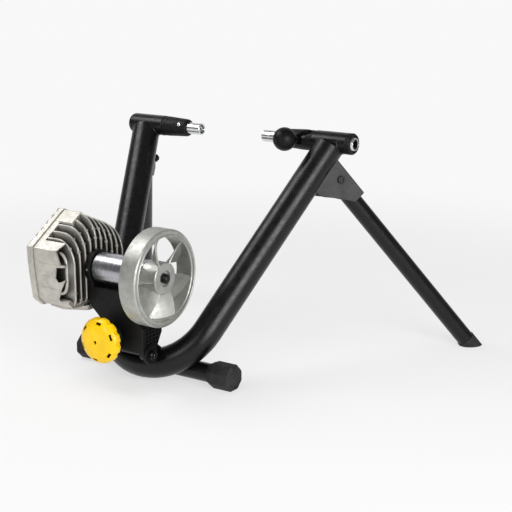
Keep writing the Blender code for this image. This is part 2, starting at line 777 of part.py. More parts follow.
def make_leg(side, name, hinge_empty):
    hinge, foot, along, frame = leg_layout(side)
    length = (foot - hinge).length
    axis = fold_axis(side)
    leg_axis = basis(hinge, along, axis)
    over = 0.03
    tube = rod(name + "_tube", -LEG_RADIUS - LEG_END_MARGIN * 2, length + over, LEG_RADIUS, leg_axis)
    cross = basis(hinge, axis, along)
    shave = block("shave", (-0.05, -0.05, -0.05), (0.0, 0.05, 0.05), leg_axis)
    cut(shave, rod("round", -0.06, 0.06, LEG_RADIUS + LEG_END_MARGIN, cross, 40))
    cut(tube, shave)
    bore = rod("bore", 0.02, length + 2 * over, LEG_RADIUS - LEG_WALL, leg_axis, 24)
    cut(tube, bore)
    cut(tube, leg_floor_cutter(LEG_FOOT_SOLE))
    cut(tube, rod("bolt_hole", -0.05, 0.05, LEG_BOLT_RADIUS + RUN_GAP, cross, SMALL_ROUND))
    finish(tube, black_paint(), hinge_empty)

    outer = LEG_RADIUS + LEG_FOOT_WALL
    start = length - LEG_FOOT_LENGTH
    profile = [(start, LEG_RADIUS + GAP), (start, outer - 0.0004), (start + 0.001, outer),
               (length + over, outer), (length + over, LEG_RADIUS + GAP)]
    sock = turned(name + "_foot", profile, leg_axis)
    plug = rod("plug", start, length + over, LEG_RADIUS + LEG_FOOT_WALL / 2, leg_axis)
    cut(plug, block("above", (-1.0, -1.0, LEG_FOOT_SOLE - GAP), (1.0, 1.0, 0.5)))
    join(sock, plug)
    cut(sock, leg_floor_cutter(0.0))
    finish(sock, rubber(), hinge_empty)

    inner = LEG_RADIUS + BRACKET_SIDE_GAP
    face = inner + BRACKET_SHEET + GAP
    facing = 1.0 if axis.x * side > 0 else -1.0
    bolt_axis = basis(hinge, axis * facing, along)
    nut_end = -face - LEG_NUT_HEIGHT
    bolt = turned(name + "_bolt", [(nut_end - LEG_BOLT_TAIL, 0.0), (nut_end - LEG_BOLT_TAIL, LEG_BOLT_RADIUS),
                                   (face, LEG_BOLT_RADIUS), (face, LEG_BOLT_HEAD_RADIUS),
                                   (face + LEG_BOLT_HEAD_HEIGHT - 0.001, LEG_BOLT_HEAD_RADIUS),
                                   (face + LEG_BOLT_HEAD_HEIGHT, LEG_BOLT_HEAD_RADIUS - 0.001),
                                   (face + LEG_BOLT_HEAD_HEIGHT, 0.0)], bolt_axis, SMALL_ROUND)
    key_floor = face + LEG_BOLT_HEAD_HEIGHT * 0.45
    cut(bolt, hexagon("key", key_floor, face + 0.02, LEG_BOLT_HEAD_RADIUS, bolt_axis))
    finish(bolt, dark_steel())
    nut = hexagon(name + "_nut", nut_end, -face, LEG_NUT_FLATS, bolt_axis)
    cut(nut, rod("thread", -0.06, 0.0, LEG_BOLT_RADIUS + GAP, bolt_axis, SMALL_ROUND))
    finish(nut, dark_steel())


# Front foot bar under the bend

def make_foot_bar():
    centre = Matrix.Translation(at(0.0, BAR_Y, CAP_APOTHEM))
    bar = ring("foot_bar", -BAR_HALF_LENGTH, BAR_HALF_LENGTH, BAR_RADIUS, BAR_RADIUS - BAR_WALL, centre, 24)
    points, scales = frame_path(ARM_END_DROP)
    cut(bar, swept_tube("cope", points, FRAME_TUBE_RADIUS + GAP, None))
    finish(bar, black_paint())
    seat = BAR_RADIUS + GAP
    corner = CAP_APOTHEM / cos(pi / 8)
    end = BAR_HALF_LENGTH + CAP_END_WALL
    start = end - CAP_LENGTH
    for side, name in ((-1, "left_foot_cap"), (1, "right_foot_cap")):
        spot = centre if side > 0 else centre @ Matrix.Rotation(pi, 4, "Z")
        outline = [(start, CAP_NECK_RADIUS / cos(pi / 8) * 0.95), (start + CAP_NECK_LENGTH, corner),
                   (end - 0.003, corner), (end, corner - 0.003), (end, corner * 0.72),
                   (end - CAP_PANEL_DEPTH, corner * 0.68), (end - CAP_PANEL_DEPTH, 0.0)]
        cap = turned(name, [(start, 0.0)] + outline, spot, 8, pi / 8)
        cut(cap, rod("seat", start - 0.01, BAR_HALF_LENGTH + GAP, seat, spot, 24))
        finish(cap, rubber())


# The yoke, its pivot on the frame, and the clutch knob that draws it in

def pivot_line():
    return Matrix.Translation(at(0.0, PIVOT_Y, PIVOT_Z))


def side_view():
    """A placement for outlines given as (y from the axle line, z), extruded along X."""
    turn = Matrix(((0, 0, 1), (1, 0, 0), (0, 1, 0))).to_4x4()
    return Matrix.Translation(at(0.0, 0.0, 0.0)) @ turn


def arc(centre, radius, start, end, steps):
    """Points of an arc, with angles in degrees from the first axis."""
    points = []
    for index in range(steps + 1):
        angle = radians(start + (end - start) * index / steps)
        points.append((centre[0] + radius * cos(angle), centre[1] + radius * sin(angle)))
    return points


def make_pivot_lug():
    rounded = arc((PIVOT_Y, PIVOT_Z), LUG_NOSE_RADIUS, 180, 270, 6)
    back = PIVOT_Y + LUG_BACK
    front = PIVOT_Y - LUG_NOSE_RADIUS + LUG_FRONT_SETBACK
    outline = [(back, LUG_TOP_Z - LUG_BACK_DROP), (PIVOT_Y + LUG_TOP_BACK, LUG_TOP_Z),
               (front + LUG_FRONT_CHAMFER, LUG_TOP_Z), (front, LUG_TOP_Z - LUG_FRONT_DROP)]
    outline += rounded + [(back, PIVOT_Z - LUG_FOOT_DROP)]
    lug = extruded("pivot_lug", outline, -LUG_HALF_WIDTH, LUG_HALF_WIDTH, side_view())
    inner = LUG_HALF_WIDTH - LUG_CHEEK
    cut(lug, block("channel", (-inner, PIVOT_Y - LUG_CHANNEL, 0.0),
                   (inner, PIVOT_Y + LUG_CHANNEL, LUG_TOP_Z + LUG_BACK), Matrix.Translation(at(0, 0, 0))))
    points, scales = frame_path(ARM_END_DROP)
    cut(lug, swept_tube("cope", points, FRAME_TUBE_RADIUS + GAP, None))
    cut(lug, rod("bolt_hole", -YOKE_HALF_WIDTH, YOKE_HALF_WIDTH, PIVOT_BOLT_RADIUS + GAP, pivot_line(), SMALL_ROUND))
    window = DRAW_BARREL_RADIUS + BARREL_ROOM
    barrel = Matrix.Translation(at(0.0, DRAW_BARREL_Y, KNOB_Z))
    cut(lug, rod("barrel_window", -YOKE_HALF_WIDTH, YOKE_HALF_WIDTH, window, barrel, 24))
    return finish(lug, black_paint())


def roller_line():
    return Matrix.Translation(at(0.0, ROLLER_Y, ROLLER_Z))


def front_view():
    """A placement for outlines given as (x, z), extruded along +Y from the axle line."""
    turn = Matrix(((1, 0, 0), (0, 0, -1), (0, 1, 0))).to_4x4()
    return Matrix.Translation(at(0.0, 0.0, 0.0)) @ turn


def make_yoke(swing):
    top = ROLLER_Z - ROLLER_RADIUS - SADDLE_GAP
    upright = MOUNT_RIGHT_X
    back = ROLLER_Y + MOUNT_RADIUS
    outline = [(-YOKE_HALF_WIDTH, PIVOT_Z - YOKE_NOSE_RADIUS), (YOKE_HALF_WIDTH, PIVOT_Z - YOKE_NOSE_RADIUS),
               (YOKE_HALF_WIDTH, YOKE_WAIST_Z), (YOKE_RIGHT_X, YOKE_WAIST_Z + 0.006), (YOKE_RIGHT_X, top),
               (upright, top), (upright, ROLLER_Z), (MOUNT_LEFT_X, ROLLER_Z),
               (MOUNT_LEFT_X, YOKE_SHOULDER_Z), (-YOKE_HALF_WIDTH, YOKE_WAIST_Z)]
    body = extruded("yoke", outline, -back, -YOKE_FRONT_Y, front_view())
    lower_back = [(back + 0.01, PIVOT_Z - 0.05), (PIVOT_Y, PIVOT_Z - 0.05),
                  (PIVOT_Y, PIVOT_Z - YOKE_NOSE_RADIUS)]
    lower_back += arc((PIVOT_Y, PIVOT_Z), YOKE_NOSE_RADIUS, -90, -20, 5)
    lower_back += [(YOKE_BACK_TOP_Y - 0.004, YOKE_WAIST_Z), (back + 0.01, YOKE_SHOULDER_Z)]
    cut(body, extruded("back_slope", lower_back, -0.12, 0.12, side_view()))
    inner = YOKE_HALF_WIDTH - YOKE_WALL
    low = (-inner, YOKE_FRONT_Y + YOKE_WALL, 0.0)
    high = (inner, 0.0, YOKE_WAIST_Z + 0.004)
    here = Matrix.Translation(at(0, 0, 0))
    cut(body, block("hollow", low, high, here))
    cut(body, block("upper_hollow", (MOUNT_LEFT_X + YOKE_WALL, YOKE_FRONT_Y + YOKE_WALL, YOKE_SHOULDER_Z),
                    (YOKE_RIGHT_X - YOKE_WALL, 0.0, top - YOKE_WALL), here))
    join(body, rod("mount", MOUNT_LEFT_X, MOUNT_RIGHT_X, MOUNT_RADIUS, roller_line()))
    line = knob_line()
    join(body, rod("knob_boss", -0.002, KNOB_BOSS_LENGTH, KNOB_BOSS_RADIUS, knob_face(), 24))
    cut(body, rod("bearing_seat", MOUNT_RIGHT_X - BEARING_WIDTH - GAP, 0.0, BEARING_RADIUS + GAP,
                  roller_line(), 24))
    cut(body, rod("shaft_hole", -0.2, 0.0, SHAFT_RADIUS + 0.002, roller_line(), 24))
    cut(body, rod("bolt_hole", -0.1, 0.1, PIVOT_BOLT_RADIUS + GAP, pivot_line(), SMALL_ROUND))
    cut(body, rod("draw_hole", -0.05, 0.02, DRAW_BOLT_RADIUS + GAP, line, SMALL_ROUND))
    cut(body, rod("screw_hole", BEARING_RADIUS, 0.05, MOUNT_SCREW_RADIUS + GAP, mount_screw_line(), 12))
    cut_waffle(body)
    screw = rod("mount_screw", BEARING_RADIUS + 2 * GAP, MOUNT_RADIUS - 0.0004, MOUNT_SCREW_RADIUS,
                mount_screw_line(), 12)
    finish(screw, bright_zinc(), swing)
    return finish(body, black_casting(), swing)


def mount_screw_line():
    middle = (MOUNT_LEFT_X + MOUNT_RIGHT_X) / 2
    return Matrix.Translation(at(middle, ROLLER_Y, ROLLER_Z)) @ Matrix.Rotation(-pi / 2, 4, "Z")


def cut_waffle(body):
    """Rows of shallow pockets that leave a lattice of ribs on both outer cheeks."""
    low_z = PIVOT_Z + YOKE_NOSE_RADIUS + 0.003
    high_z = YOKE_WAIST_Z - 0.001
    front = YOKE_FRONT_Y + 0.008
    back = PIVOT_Y + YOKE_NOSE_RADIUS
    cell_y = (back - front) / WAFFLE_COLUMNS
    cell_z = (high_z - low_z) / WAFFLE_ROWS
    here = Matrix.Translation(at(0, 0, 0))
    for side in (-1, 1):
        for row in range(WAFFLE_ROWS):
            for column in range(WAFFLE_COLUMNS):
                y = front + cell_y * column
                z = low_z + cell_z * row
                face = side * YOKE_HALF_WIDTH
                x_low = min(face - side * WAFFLE_DEPTH, face + side * 0.01)
                x_high = max(face - side * WAFFLE_DEPTH, face + side * 0.01)
                cut(body, block("pocket", (x_low, y + WAFFLE_RIB / 2, z + WAFFLE_RIB / 2),
                                (x_high, y + cell_y - WAFFLE_RIB / 2, z + cell_z - WAFFLE_RIB / 2), here))


def make_pivot_bolt():
    face = YOKE_HALF_WIDTH + GAP
    disc_end = face + PIVOT_DISC_THICK
    line = pivot_line()
    tail = disc_end + PIVOT_NUT_HEIGHT + PIVOT_BOLT_TAIL
    bolt = turned("pivot_bolt", [(-face - PIVOT_DISC_THICK, 0.0), (-face - PIVOT_DISC_THICK, PIVOT_HEAD_RADIUS),
                                 (-face, PIVOT_HEAD_RADIUS), (-face, PIVOT_BOLT_RADIUS),
                                 (tail, PIVOT_BOLT_RADIUS), (tail, 0.0)], line, 24)
    finish(bolt, dark_steel())
    finish(ring("pivot_disc", face, disc_end, PIVOT_DISC_RADIUS, PIVOT_BOLT_RADIUS + GAP, line, 24),
           black_casting())
    nut = hexagon("pivot_nut", disc_end + GAP, disc_end + PIVOT_NUT_HEIGHT, PIVOT_NUT_FLATS, line)
    cut(nut, rod("thread", 0.0, 0.1, PIVOT_BOLT_RADIUS + GAP, line, SMALL_ROUND))
    finish(nut, dark_steel())


def knob_face():
    """A placement on the draw bolt's axis at the yoke's front face. Its X points out, to -Y."""
    return Matrix.Translation(at(KNOB_X, YOKE_FRONT_Y, KNOB_Z)) @ Matrix.Rotation(-pi / 2, 4, "Z")


def knob_line():
    """The same placement at the end of the yoke's knob boss."""
    return knob_face() @ Matrix.Translation((KNOB_BOSS_LENGTH, 0, 0))


def knob_shell(angle, share):
    """Depth and radius of the knob's dome at a share of its run from rim to tip."""
    lobe = 1.0 + (cos(KNOB_LOBES * angle) - 1.0) * 0.5 * KNOB_LOBE_DEPTH / KNOB_RADIUS * 2.0 * (1.0 - share)
    bow = share * pi / 2
    return KNOB_DEPTH * sin(bow), KNOB_RADIUS * cos(bow) ** 0.85 * lobe


def make_knob(swing):
    line = knob_line()
    washer_end = GAP + THRUST_WASHER_THICK
    finish(ring("thrust_washer", GAP, washer_end, THRUST_WASHER_RADIUS, DRAW_BOLT_RADIUS + GAP, line, 24),
           bright_zinc(), swing)
    barrel_out = YOKE_FRONT_Y - KNOB_BOSS_LENGTH - DRAW_BARREL_Y
    bolt = rod("draw_bolt", barrel_out - 0.003, washer_end + KNOB_DEPTH * 0.62, DRAW_BOLT_RADIUS, line,
               SMALL_ROUND)
    finish(bolt, dark_steel(), swing)
    barrel_line = Matrix.Translation(at(0.0, DRAW_BARREL_Y, KNOB_Z))
    reach = LUG_HALF_WIDTH
    barrel = rod("draw_barrel", -reach, reach, DRAW_BARREL_RADIUS, barrel_line, 24)
    cut(barrel, rod("cross_hole", -0.09, 0.02, DRAW_BOLT_RADIUS + GAP, line, SMALL_ROUND))
    finish(barrel, bright_zinc(), swing)

    turn = joint_empty("clutch_knob_hinge", line, swing)
    base = washer_end + GAP
    bm = bmesh.new()
    segments = KNOB_LOBES * 3
    shares = [0.0, 0.25, 0.5, 0.75]
    rings = []
    for share in shares:
        loop = []
        for index in range(segments):
            angle = 2 * pi * index / segments
            depth, radius = knob_shell(angle, share)
            loop.append(bm.verts.new((base + depth, radius * cos(angle), radius * sin(angle))))
        rings.append(loop)
    for one, two in zip(rings, rings[1:]):
        for index in range(segments):
            after = (index + 1) % segments
            bm.faces.new((one[index], one[after], two[after], two[index]))
    bm.faces.new(rings[0])
    tip = bm.verts.new((base + KNOB_DEPTH, 0, 0))
    for index in range(segments):
        bm.faces.new((rings[-1][index], rings[-1][(index + 1) % segments], tip))
    bmesh.ops.recalc_face_normals(bm, faces=bm.faces[:])
    knob = object_from("clutch_knob", bm, line)
    inside = [(base - 0.01, 0.0), (base - 0.01, KNOB_CORE_RADIUS + GAP), (base + 0.008, KNOB_CORE_RADIUS + GAP),
              (base + KNOB_DEPTH * 0.55, KNOB_CORE_RADIUS * 0.80), (base + KNOB_DEPTH * 0.78, KNOB_CORE_RADIUS * 0.42),
              (base + KNOB_DEPTH * 0.78, 0.0)]
    cut(knob, turned("hollow", inside, line, 36))
    cut(knob, rod("centre_hole", base, base + KNOB_DEPTH + 0.01, 0.0025, line, 12))
    for index in range(KNOB_SLOTS):
        angle = KNOB_SLOT_FIRST + 2 * pi * index / KNOB_SLOTS
        half = KNOB_SLOT_LENGTH / 2
        spot = line @ Matrix.Rotation(angle, 4, "X")
        cut(knob, block("slot", (base - 0.005, KNOB_SLOT_CIRCLE - KNOB_SLOT_WIDTH / 2, -half),
                        (base + KNOB_DEPTH + 0.01, KNOB_SLOT_CIRCLE + KNOB_SLOT_WIDTH / 2, half), spot))
    finish(knob, yellow_plastic(), turn)
    core = turned("clutch_core", [(base, DRAW_BOLT_RADIUS + GAP), (base, KNOB_CORE_RADIUS),
                                  (base + 0.008, KNOB_CORE_RADIUS),
                                  (base + KNOB_DEPTH * 0.55 - 0.001, KNOB_CORE_RADIUS * 0.80 - 0.001),
                                  (base + KNOB_DEPTH * 0.78 - 0.001, KNOB_CORE_RADIUS * 0.42 - 0.001),
                                  (base + KNOB_DEPTH * 0.78 - 0.001, DRAW_BOLT_RADIUS + GAP)], line, 36)
    finish(core, black_casting(), turn)


# Rotor: shaft, impeller, roller, fan flywheel and its nut

def make_roller(spin):
    line = roller_line()
    inner = ROLLER_RADIUS - ROLLER_WALL
    bore = SHAFT_RADIUS + GAP
    left = ROLLER_LEFT_X
    right = ROLLER_RIGHT_X
    body = turned("roller", [(left, bore), (left, ROLLER_RADIUS - 0.001), (left + 0.001, ROLLER_RADIUS),
                             (right - 0.001, ROLLER_RADIUS), (right, ROLLER_RADIUS - 0.001),
                             (right, inner), (left + ROLLER_WEB, inner), (left + ROLLER_WEB, 0.013),
                             (right - 0.001, 0.013), (right - 0.001, bore)], line)
    finish(body, roller_steel(), spin)


def blade(index):
    """One twisted blade: its front edge leads, its back edge is swept on around the hub."""
    bm = bmesh.new()
    first = BLADE_FIRST_ANGLE + 2 * pi * index / BLADE_COUNT
    front = FLYWHEEL_LEFT_X + FLYWHEEL_WIDTH - BLADE_INSET
    back = FLYWHEEL_LEFT_X + BLADE_INSET
    across = 4
    steps = 3
    inner = FAN_HUB_RADIUS - 0.002
    outer = RIM_BORE + 0.002
    slope = BLADE_SWEEP / (front - back)
    sheets = []
    for side in (-0.5, 0.5):
        sheet = []
        for row in range(steps + 1):
            radius = inner + (outer - inner) * row / steps
            pitch = sqrt(1.0 + (slope * radius) ** 2)
            line = []
            lead = first + BLADE_SKEW * row / steps
            for column in range(across + 1):
                share = column / across
                angle = lead + BLADE_SWEEP * share + side * BLADE_THICK * pitch / radius
                x = front + (back - front) * share
                line.append(bm.verts.new((x, radius * sin(angle), radius * cos(angle))))
            sheet.append(line)
        sheets.append(sheet)
    low, high = sheets
    for row in range(steps):
        for column in range(across):
            for sheet in sheets:
                bm.faces.new((sheet[row][column], sheet[row][column + 1],
                              sheet[row + 1][column + 1], sheet[row + 1][column]))
    for row in range(steps):
        for column in (0, across):
            bm.faces.new((low[row][column], low[row + 1][column], high[row + 1][column], high[row][column]))
    for column in range(across):
        for row in (0, steps):
            bm.faces.new((low[row][column], low[row][column + 1], high[row][column + 1], high[row][column]))
    bmesh.ops.triangulate(bm, faces=bm.faces[:])
    bmesh.ops.recalc_face_normals(bm, faces=bm.faces[:])
    return object_from("blade", bm, roller_line())


def make_flywheel(spin):
    line = roller_line()
    left = FLYWHEEL_LEFT_X
    right = left + FLYWHEEL_WIDTH
    edge = RIM_CHAMFER
    rim = turned("flywheel", [(left, RIM_BORE + edge), (left, FLYWHEEL_RADIUS - edge),
                              (left + edge, FLYWHEEL_RADIUS), (right - edge, FLYWHEEL_RADIUS),
                              (right, FLYWHEEL_RADIUS - edge), (right, RIM_BORE + edge),
                              (right - edge, RIM_BORE), (left + edge, RIM_BORE)], line, 48)
    face = right - HUB_FRONT_INSET
    bore = SHAFT_RADIUS + GAP
    hub = turned("hub", [(left, bore), (left, FAN_HUB_RADIUS - 0.001), (left + 0.001, FAN_HUB_RADIUS),
                         (face - 0.0015, FAN_HUB_RADIUS), (face, FAN_HUB_RADIUS - 0.0015),
                         (face, HUB_RECESS_RADIUS), (face - HUB_RECESS_DEPTH, HUB_RECESS_RADIUS - 0.001),
                         (face - HUB_RECESS_DEPTH, bore)], line)
    for index in range(BLADE_COUNT):
        join(hub, blade(index))
    join(rim, hub)
    finish(rim, cast_aluminium(), spin)
    nut_seat = face - HUB_RECESS_DEPTH + GAP
    nut = hexagon("flywheel_nut", nut_seat, nut_seat + SHAFT_NUT_HEIGHT, SHAFT_NUT_FLATS, line)
    cut(nut, rod("thread", 0.0, 0.2, SHAFT_RADIUS + GAP, line, SMALL_ROUND))
    finish(nut, bright_zinc(), spin)
    return nut_seat + SHAFT_NUT_HEIGHT + SHAFT_TAIL


def impeller_place():
    """Left and right faces of the impeller inside the fluid chamber."""
    chamber_right = UNIT_SEAM_X + CHAMBER_DEPTH
    right = chamber_right - 0.004
    left = right - IMPELLER_DISC
    return left, right


def make_shaft(spin, shaft_end):
    line = roller_line()
    left, right = impeller_place()
    start = left - IMPELLER_VANE_DEPTH
    shaft = turned("rotor_shaft", [(start, 0.0), (start, SHAFT_RADIUS - 0.001), (start + 0.001, SHAFT_RADIUS),
                                   (shaft_end - 0.001, SHAFT_RADIUS), (shaft_end, SHAFT_RADIUS - 0.001),
                                   (shaft_end, 0.0)], line, 24)
    finish(shaft, bright_zinc(), spin)
    bore = SHAFT_RADIUS + GAP
    wheel = turned("impeller", [(left, bore), (left, IMPELLER_RADIUS), (right, IMPELLER_RADIUS), (right, bore)],
                   line, 32)
    for index in range(IMPELLER_VANES):
        spot = line @ Matrix.Rotation(2 * pi * index / IMPELLER_VANES, 4, "X")
        half = IMPELLER_VANE_THICK / 2
        join(wheel, block("vane", (left - IMPELLER_VANE_DEPTH, -half, SHAFT_RADIUS + 0.003),
                          (left + 0.001, half, IMPELLER_RADIUS - 0.001), spot))
    finish(wheel, cast_aluminium(), spin)


def make_bearings(swing):
    line = roller_line()
    bore = SHAFT_RADIUS + GAP
    seat = MOUNT_RIGHT_X - BEARING_WIDTH
    finish(ring("roller_bearing", seat, MOUNT_RIGHT_X, BEARING_RADIUS, bore, line, 24), bright_zinc(), swing)
    unit_seat = UNIT_SEAM_X + CHAMBER_DEPTH + 0.008
    finish(ring("unit_bearing", unit_seat, unit_seat + BEARING_WIDTH, BEARING_RADIUS, bore, line, 24),
           bright_zinc(), swing)
    seal_end = unit_seat - 0.001
    finish(ring("shaft_seal", seal_end - SEAL_WIDTH, seal_end, SEAL_RADIUS, bore, line, 24), rubber(), swing)


# Fluid unit: a finned casting, its chamber, and a finned cover on the outer side

def unit_outline(inset=0.0):
    """The casting's faceted outline about the roller's axis, as (y, z) corners drawn in by an inset."""
    corners = [(0.004, 0.087), (-0.044, 0.056), (-0.0735, 0.037), (-0.0725, 0.0136), (-0.0700, -0.0087),
               (-0.0672, -0.0295), (-0.0640, -0.052), (-0.051, -0.064), (0.054, -0.066), (0.070, -0.050),
               (0.080, -0.010), (0.082, 0.024), (0.070, 0.058)]
    kept = [1.0 - inset / sqrt(y * y + z * z) for y, z in corners]
    return [(y * share, z * share) for (y, z), share in zip(corners, kept)]


def unit_span(y):
    """Lowest and highest point of the outline at a distance from the axis."""
    corners = unit_outline()
    heights = []
    for one, two in zip(corners, corners[1:] + corners[:1]):
        if min(one[0], two[0]) <= y <= max(one[0], two[0]) and one[0] != two[0]:
            part = (y - one[0]) / (two[0] - one[0])
            heights.append(one[1] + (two[1] - one[1]) * part)
    return min(heights), max(heights)


def across_roller():
    """A placement for outlines given as (y, z) from the roller's axis, extruded along X."""
    return roller_line() @ Matrix(((0, 0, 1), (1, 0, 0), (0, 1, 0))).to_4x4()


def along_roller():
    """A placement for outlines given as (x, z) from the roller's axis, extruded towards -Y."""
    return roller_line() @ Matrix(((1, 0, 0), (0, 0, -1), (0, 1, 0))).to_4x4()


def fin_places():
    return [FIN_FIRST + FIN_PITCH * index for index in range(FIN_COUNT)]


def fin(y, right, low, high):
    """One cooling fin: a D-shaped plate with a wide rounded shoulder."""
    start = UNIT_SEAM_X + 0.004
    shoulder = min(FIN_SHOULDER_Z, (high - low) * 0.45)
    outline = [(start, low)] + arc((right - FIN_FOOT, low + FIN_FOOT), FIN_FOOT, -90, 0, 3)
    for step in range(0, 91, 18):
        across = cos(radians(step))
        outline.append((right - FIN_SHOULDER_X * (1 - across), high - shoulder * (1 - sin(radians(step)))))
    outline.append((start, high))
    return extruded("fin", outline, -y - FIN_THICK / 2, -y + FIN_THICK / 2, along_roller())


def make_front_skin():
    """The smooth front of the casting, with the cut-out that shows the first fins."""
    seam = UNIT_SEAM_X
    outline = [(seam + 0.002, 0.052), (seam + 0.0573, 0.052), (seam + 0.0455, 0.0345), (seam + 0.056, 0.0100),
               (seam + 0.0465, 0.0070), (seam + 0.0505, -0.0190), (seam + 0.0555, -0.0182),
               (seam + 0.0640, -0.0110), (seam + 0.054, -0.0475), (seam + 0.060, -0.0590),
               (seam + 0.060, -0.0700), (seam + 0.002, -0.0700)]
    skin = extruded("skin", outline, -SKIN_BACK_Y, 0.0800, along_roller())
    shell = extruded("shell", unit_outline(GAP), seam, 0.0, across_roller())
    combine(skin, shell, "INTERSECT")
    inside = [(SKIN_BACK_Y, 0.0435), (-0.0690, 0.0345), (-0.0675, -0.0087), (-0.0615, -0.050),
              (SKIN_BACK_Y, -0.0565), (0.020, -0.080), (0.020, 0.060)]
    return cut(skin, extruded("inside", inside, seam + UNIT_WALL_X, 0.01, across_roller()))


def make_housing(swing):
    line = roller_line()
    wall_end = UNIT_SEAM_X + UNIT_WALL_X
    mount_face = MOUNT_LEFT_X - GAP
    body = extruded("unit_housing", unit_outline(), UNIT_SEAM_X, wall_end, across_roller())
    join(body, rod("core", UNIT_SEAM_X + 0.002, CORE_END_X, CORE_RADIUS, line))
    join(body, rod("neck", CORE_END_X - 0.001, mount_face, NECK_RADIUS, line))
    base = [(-0.0640, -0.052), (-0.051, -0.064), (0.054, -0.066), (0.070, -0.050), (0.070, -0.047),
            (0.050, -0.0565), (-0.048, -0.0555), (-0.058, -0.047)]
    join(body, extruded("base", base, UNIT_SEAM_X + 0.002, UNIT_RIGHT_X - BASE_INSET, across_roller()))
    pad = [(0.0070, 0.0868), (0.004, 0.0880), (-0.0195, 0.0730), (-0.0195, 0.058), (0.0070, 0.068)]
    join(body, extruded("pad", pad, UNIT_SEAM_X + 0.002, UNIT_SEAM_X + UNIT_BAND, across_roller()))
    for number, y in enumerate(fin_places()):
        low, high = unit_span(y)
        if number == 0:
            join(body, fin(y, UNIT_RIGHT_X - 0.004, low + 0.0015, 0.0365))
        else:
            join(body, fin(y, UNIT_RIGHT_X, low + 0.0015, high - 0.0006))
    join(body, make_front_skin())
    left = wall_end - GAP
    outline = [(left, -0.0495), (-0.1060, -0.0495), (-0.0780, -0.0260), (mount_face, -0.0205), (mount_face, 0.030),
               (-0.1060, 0.045), (left, 0.045)]
    web = extruded("web", outline, -FLANGE_DROP, -FLANGE_DROP + FLANGE_THICK, line)
    below = [(left - FLANGE_THICK, -FLANGE_LEFT_DROP), (mount_face, -FLANGE_DROP), (mount_face, -2 * FLANGE_DROP),
             (left - FLANGE_THICK, -2 * FLANGE_DROP)]
    join(body, cut(web, extruded("below", below, -0.1, 0.1, along_roller())))
    cut(body, rod("chamber", UNIT_SEAM_X - 0.01, UNIT_SEAM_X + CHAMBER_DEPTH, CHAMBER_RADIUS, line, 32))
    unit_seat = UNIT_SEAM_X + CHAMBER_DEPTH + 0.008
    cut(body, rod("bearing_seat", unit_seat - GAP, 0.0, BEARING_RADIUS + GAP, line, 24))
    cut(body, rod("seal_seat", -0.2, unit_seat, SEAL_RADIUS + GAP, line, 24))
    for spot in cover_screw_spots():
        cut(body, rod("tapped", UNIT_SEAM_X - 0.01, UNIT_SEAM_X + COVER_SCREW_LENGTH, COVER_SCREW_RADIUS + GAP,
                      spot, 12))
    return finish(body, cast_aluminium(), swing)


def cover_screw_spots():
    spots = []
    for index in range(COVER_SCREW_COUNT):
        turn = Matrix.Rotation(2 * pi * index / COVER_SCREW_COUNT, 4, "X")
        spots.append(roller_line() @ turn @ Matrix.Translation((0, 0, COVER_SCREW_CIRCLE)))
    return spots


def make_cover(swing):
    line = roller_line()
    start = UNIT_SEAM_X - GAP
    end = start - COVER_THICK
    body = extruded("unit_cover", unit_outline(), start, end, across_roller())
    bevel_edges(body, COVER_ROUND, 3, lambda edge: all(vert.co.z < end + 0.001 for vert in edge.verts))
    fins = fin_places()
    for one, two in zip(fins, fins[1:]):
        low = one + FIN_THICK / 2
        high = two - FIN_THICK / 2
        cut(body, block("slot", (end - 0.01, low, -0.12), (end + COVER_SLOT_DEPTH, high, 0.12), line))
    for number, spot in enumerate(cover_screw_spots(), start=1):
        boss = end + COVER_SLOT_DEPTH
        cut(body, rod("counterbore", end - 0.01, boss + 0.002, COVER_SCREW_HEAD + 0.001, spot, 14))
        cut(body, rod("hole", end - 0.01, 0.0, COVER_SCREW_RADIUS + GAP, spot, 12))
        seat = boss + 0.002 - GAP
        screw = turned("cover_screw_%d" % number, [(seat - 0.003, 0.0), (seat - 0.003, COVER_SCREW_HEAD),
                                                   (seat, COVER_SCREW_HEAD), (seat, COVER_SCREW_RADIUS),
                                                   (UNIT_SEAM_X + COVER_SCREW_LENGTH - 0.002, COVER_SCREW_RADIUS),
                                                   (UNIT_SEAM_X + COVER_SCREW_LENGTH - 0.002, 0.0)], spot, 12)
        finish(screw, dark_steel(), swing)
    finish(body, cast_aluminium(), swing)


def clear_scene():
    for thing in list(bpy.data.objects):
        bpy.data.objects.remove(thing)


def main():
    clear_scene()
    make_main_frame()
    make_sleeves()
    make_left_clamp()
    make_right_clamp()
    make_right_end()
    for side, name in ((-1, "left_leg"), (1, "right_leg")):
        hinge, foot, along, frame = leg_layout(side)
        empty = joint_empty(name + "_hinge", basis(hinge, fold_axis(side), along))
        make_leg_bracket(side, name + "_bracket")
        make_leg(side, name, empty)
    make_foot_bar()
    make_pivot_lug()
    swing = joint_empty("yoke_hinge", pivot_line())
    make_yoke(swing)
    make_pivot_bolt()
    make_knob(swing)
    spin = joint_empty("rotor_hinge", roller_line(), swing)
    make_roller(spin)
    shaft_end = make_flywheel(spin)
    make_shaft(spin, shaft_end)
    make_bearings(swing)
    make_housing(swing)
    make_cover(swing)


main()
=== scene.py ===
"""Fluid bike trainer: the finished pieces, their surfaces, the stage and the camera.

Everything is in metres, +Z up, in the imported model's own frame.
"""

from math import asin, atan2, cos, degrees, pi, radians, sin, sqrt

import bmesh
import bpy
from bpy.props import FloatProperty, FloatVectorProperty, IntProperty, PointerProperty
from mathutils import Matrix, Vector


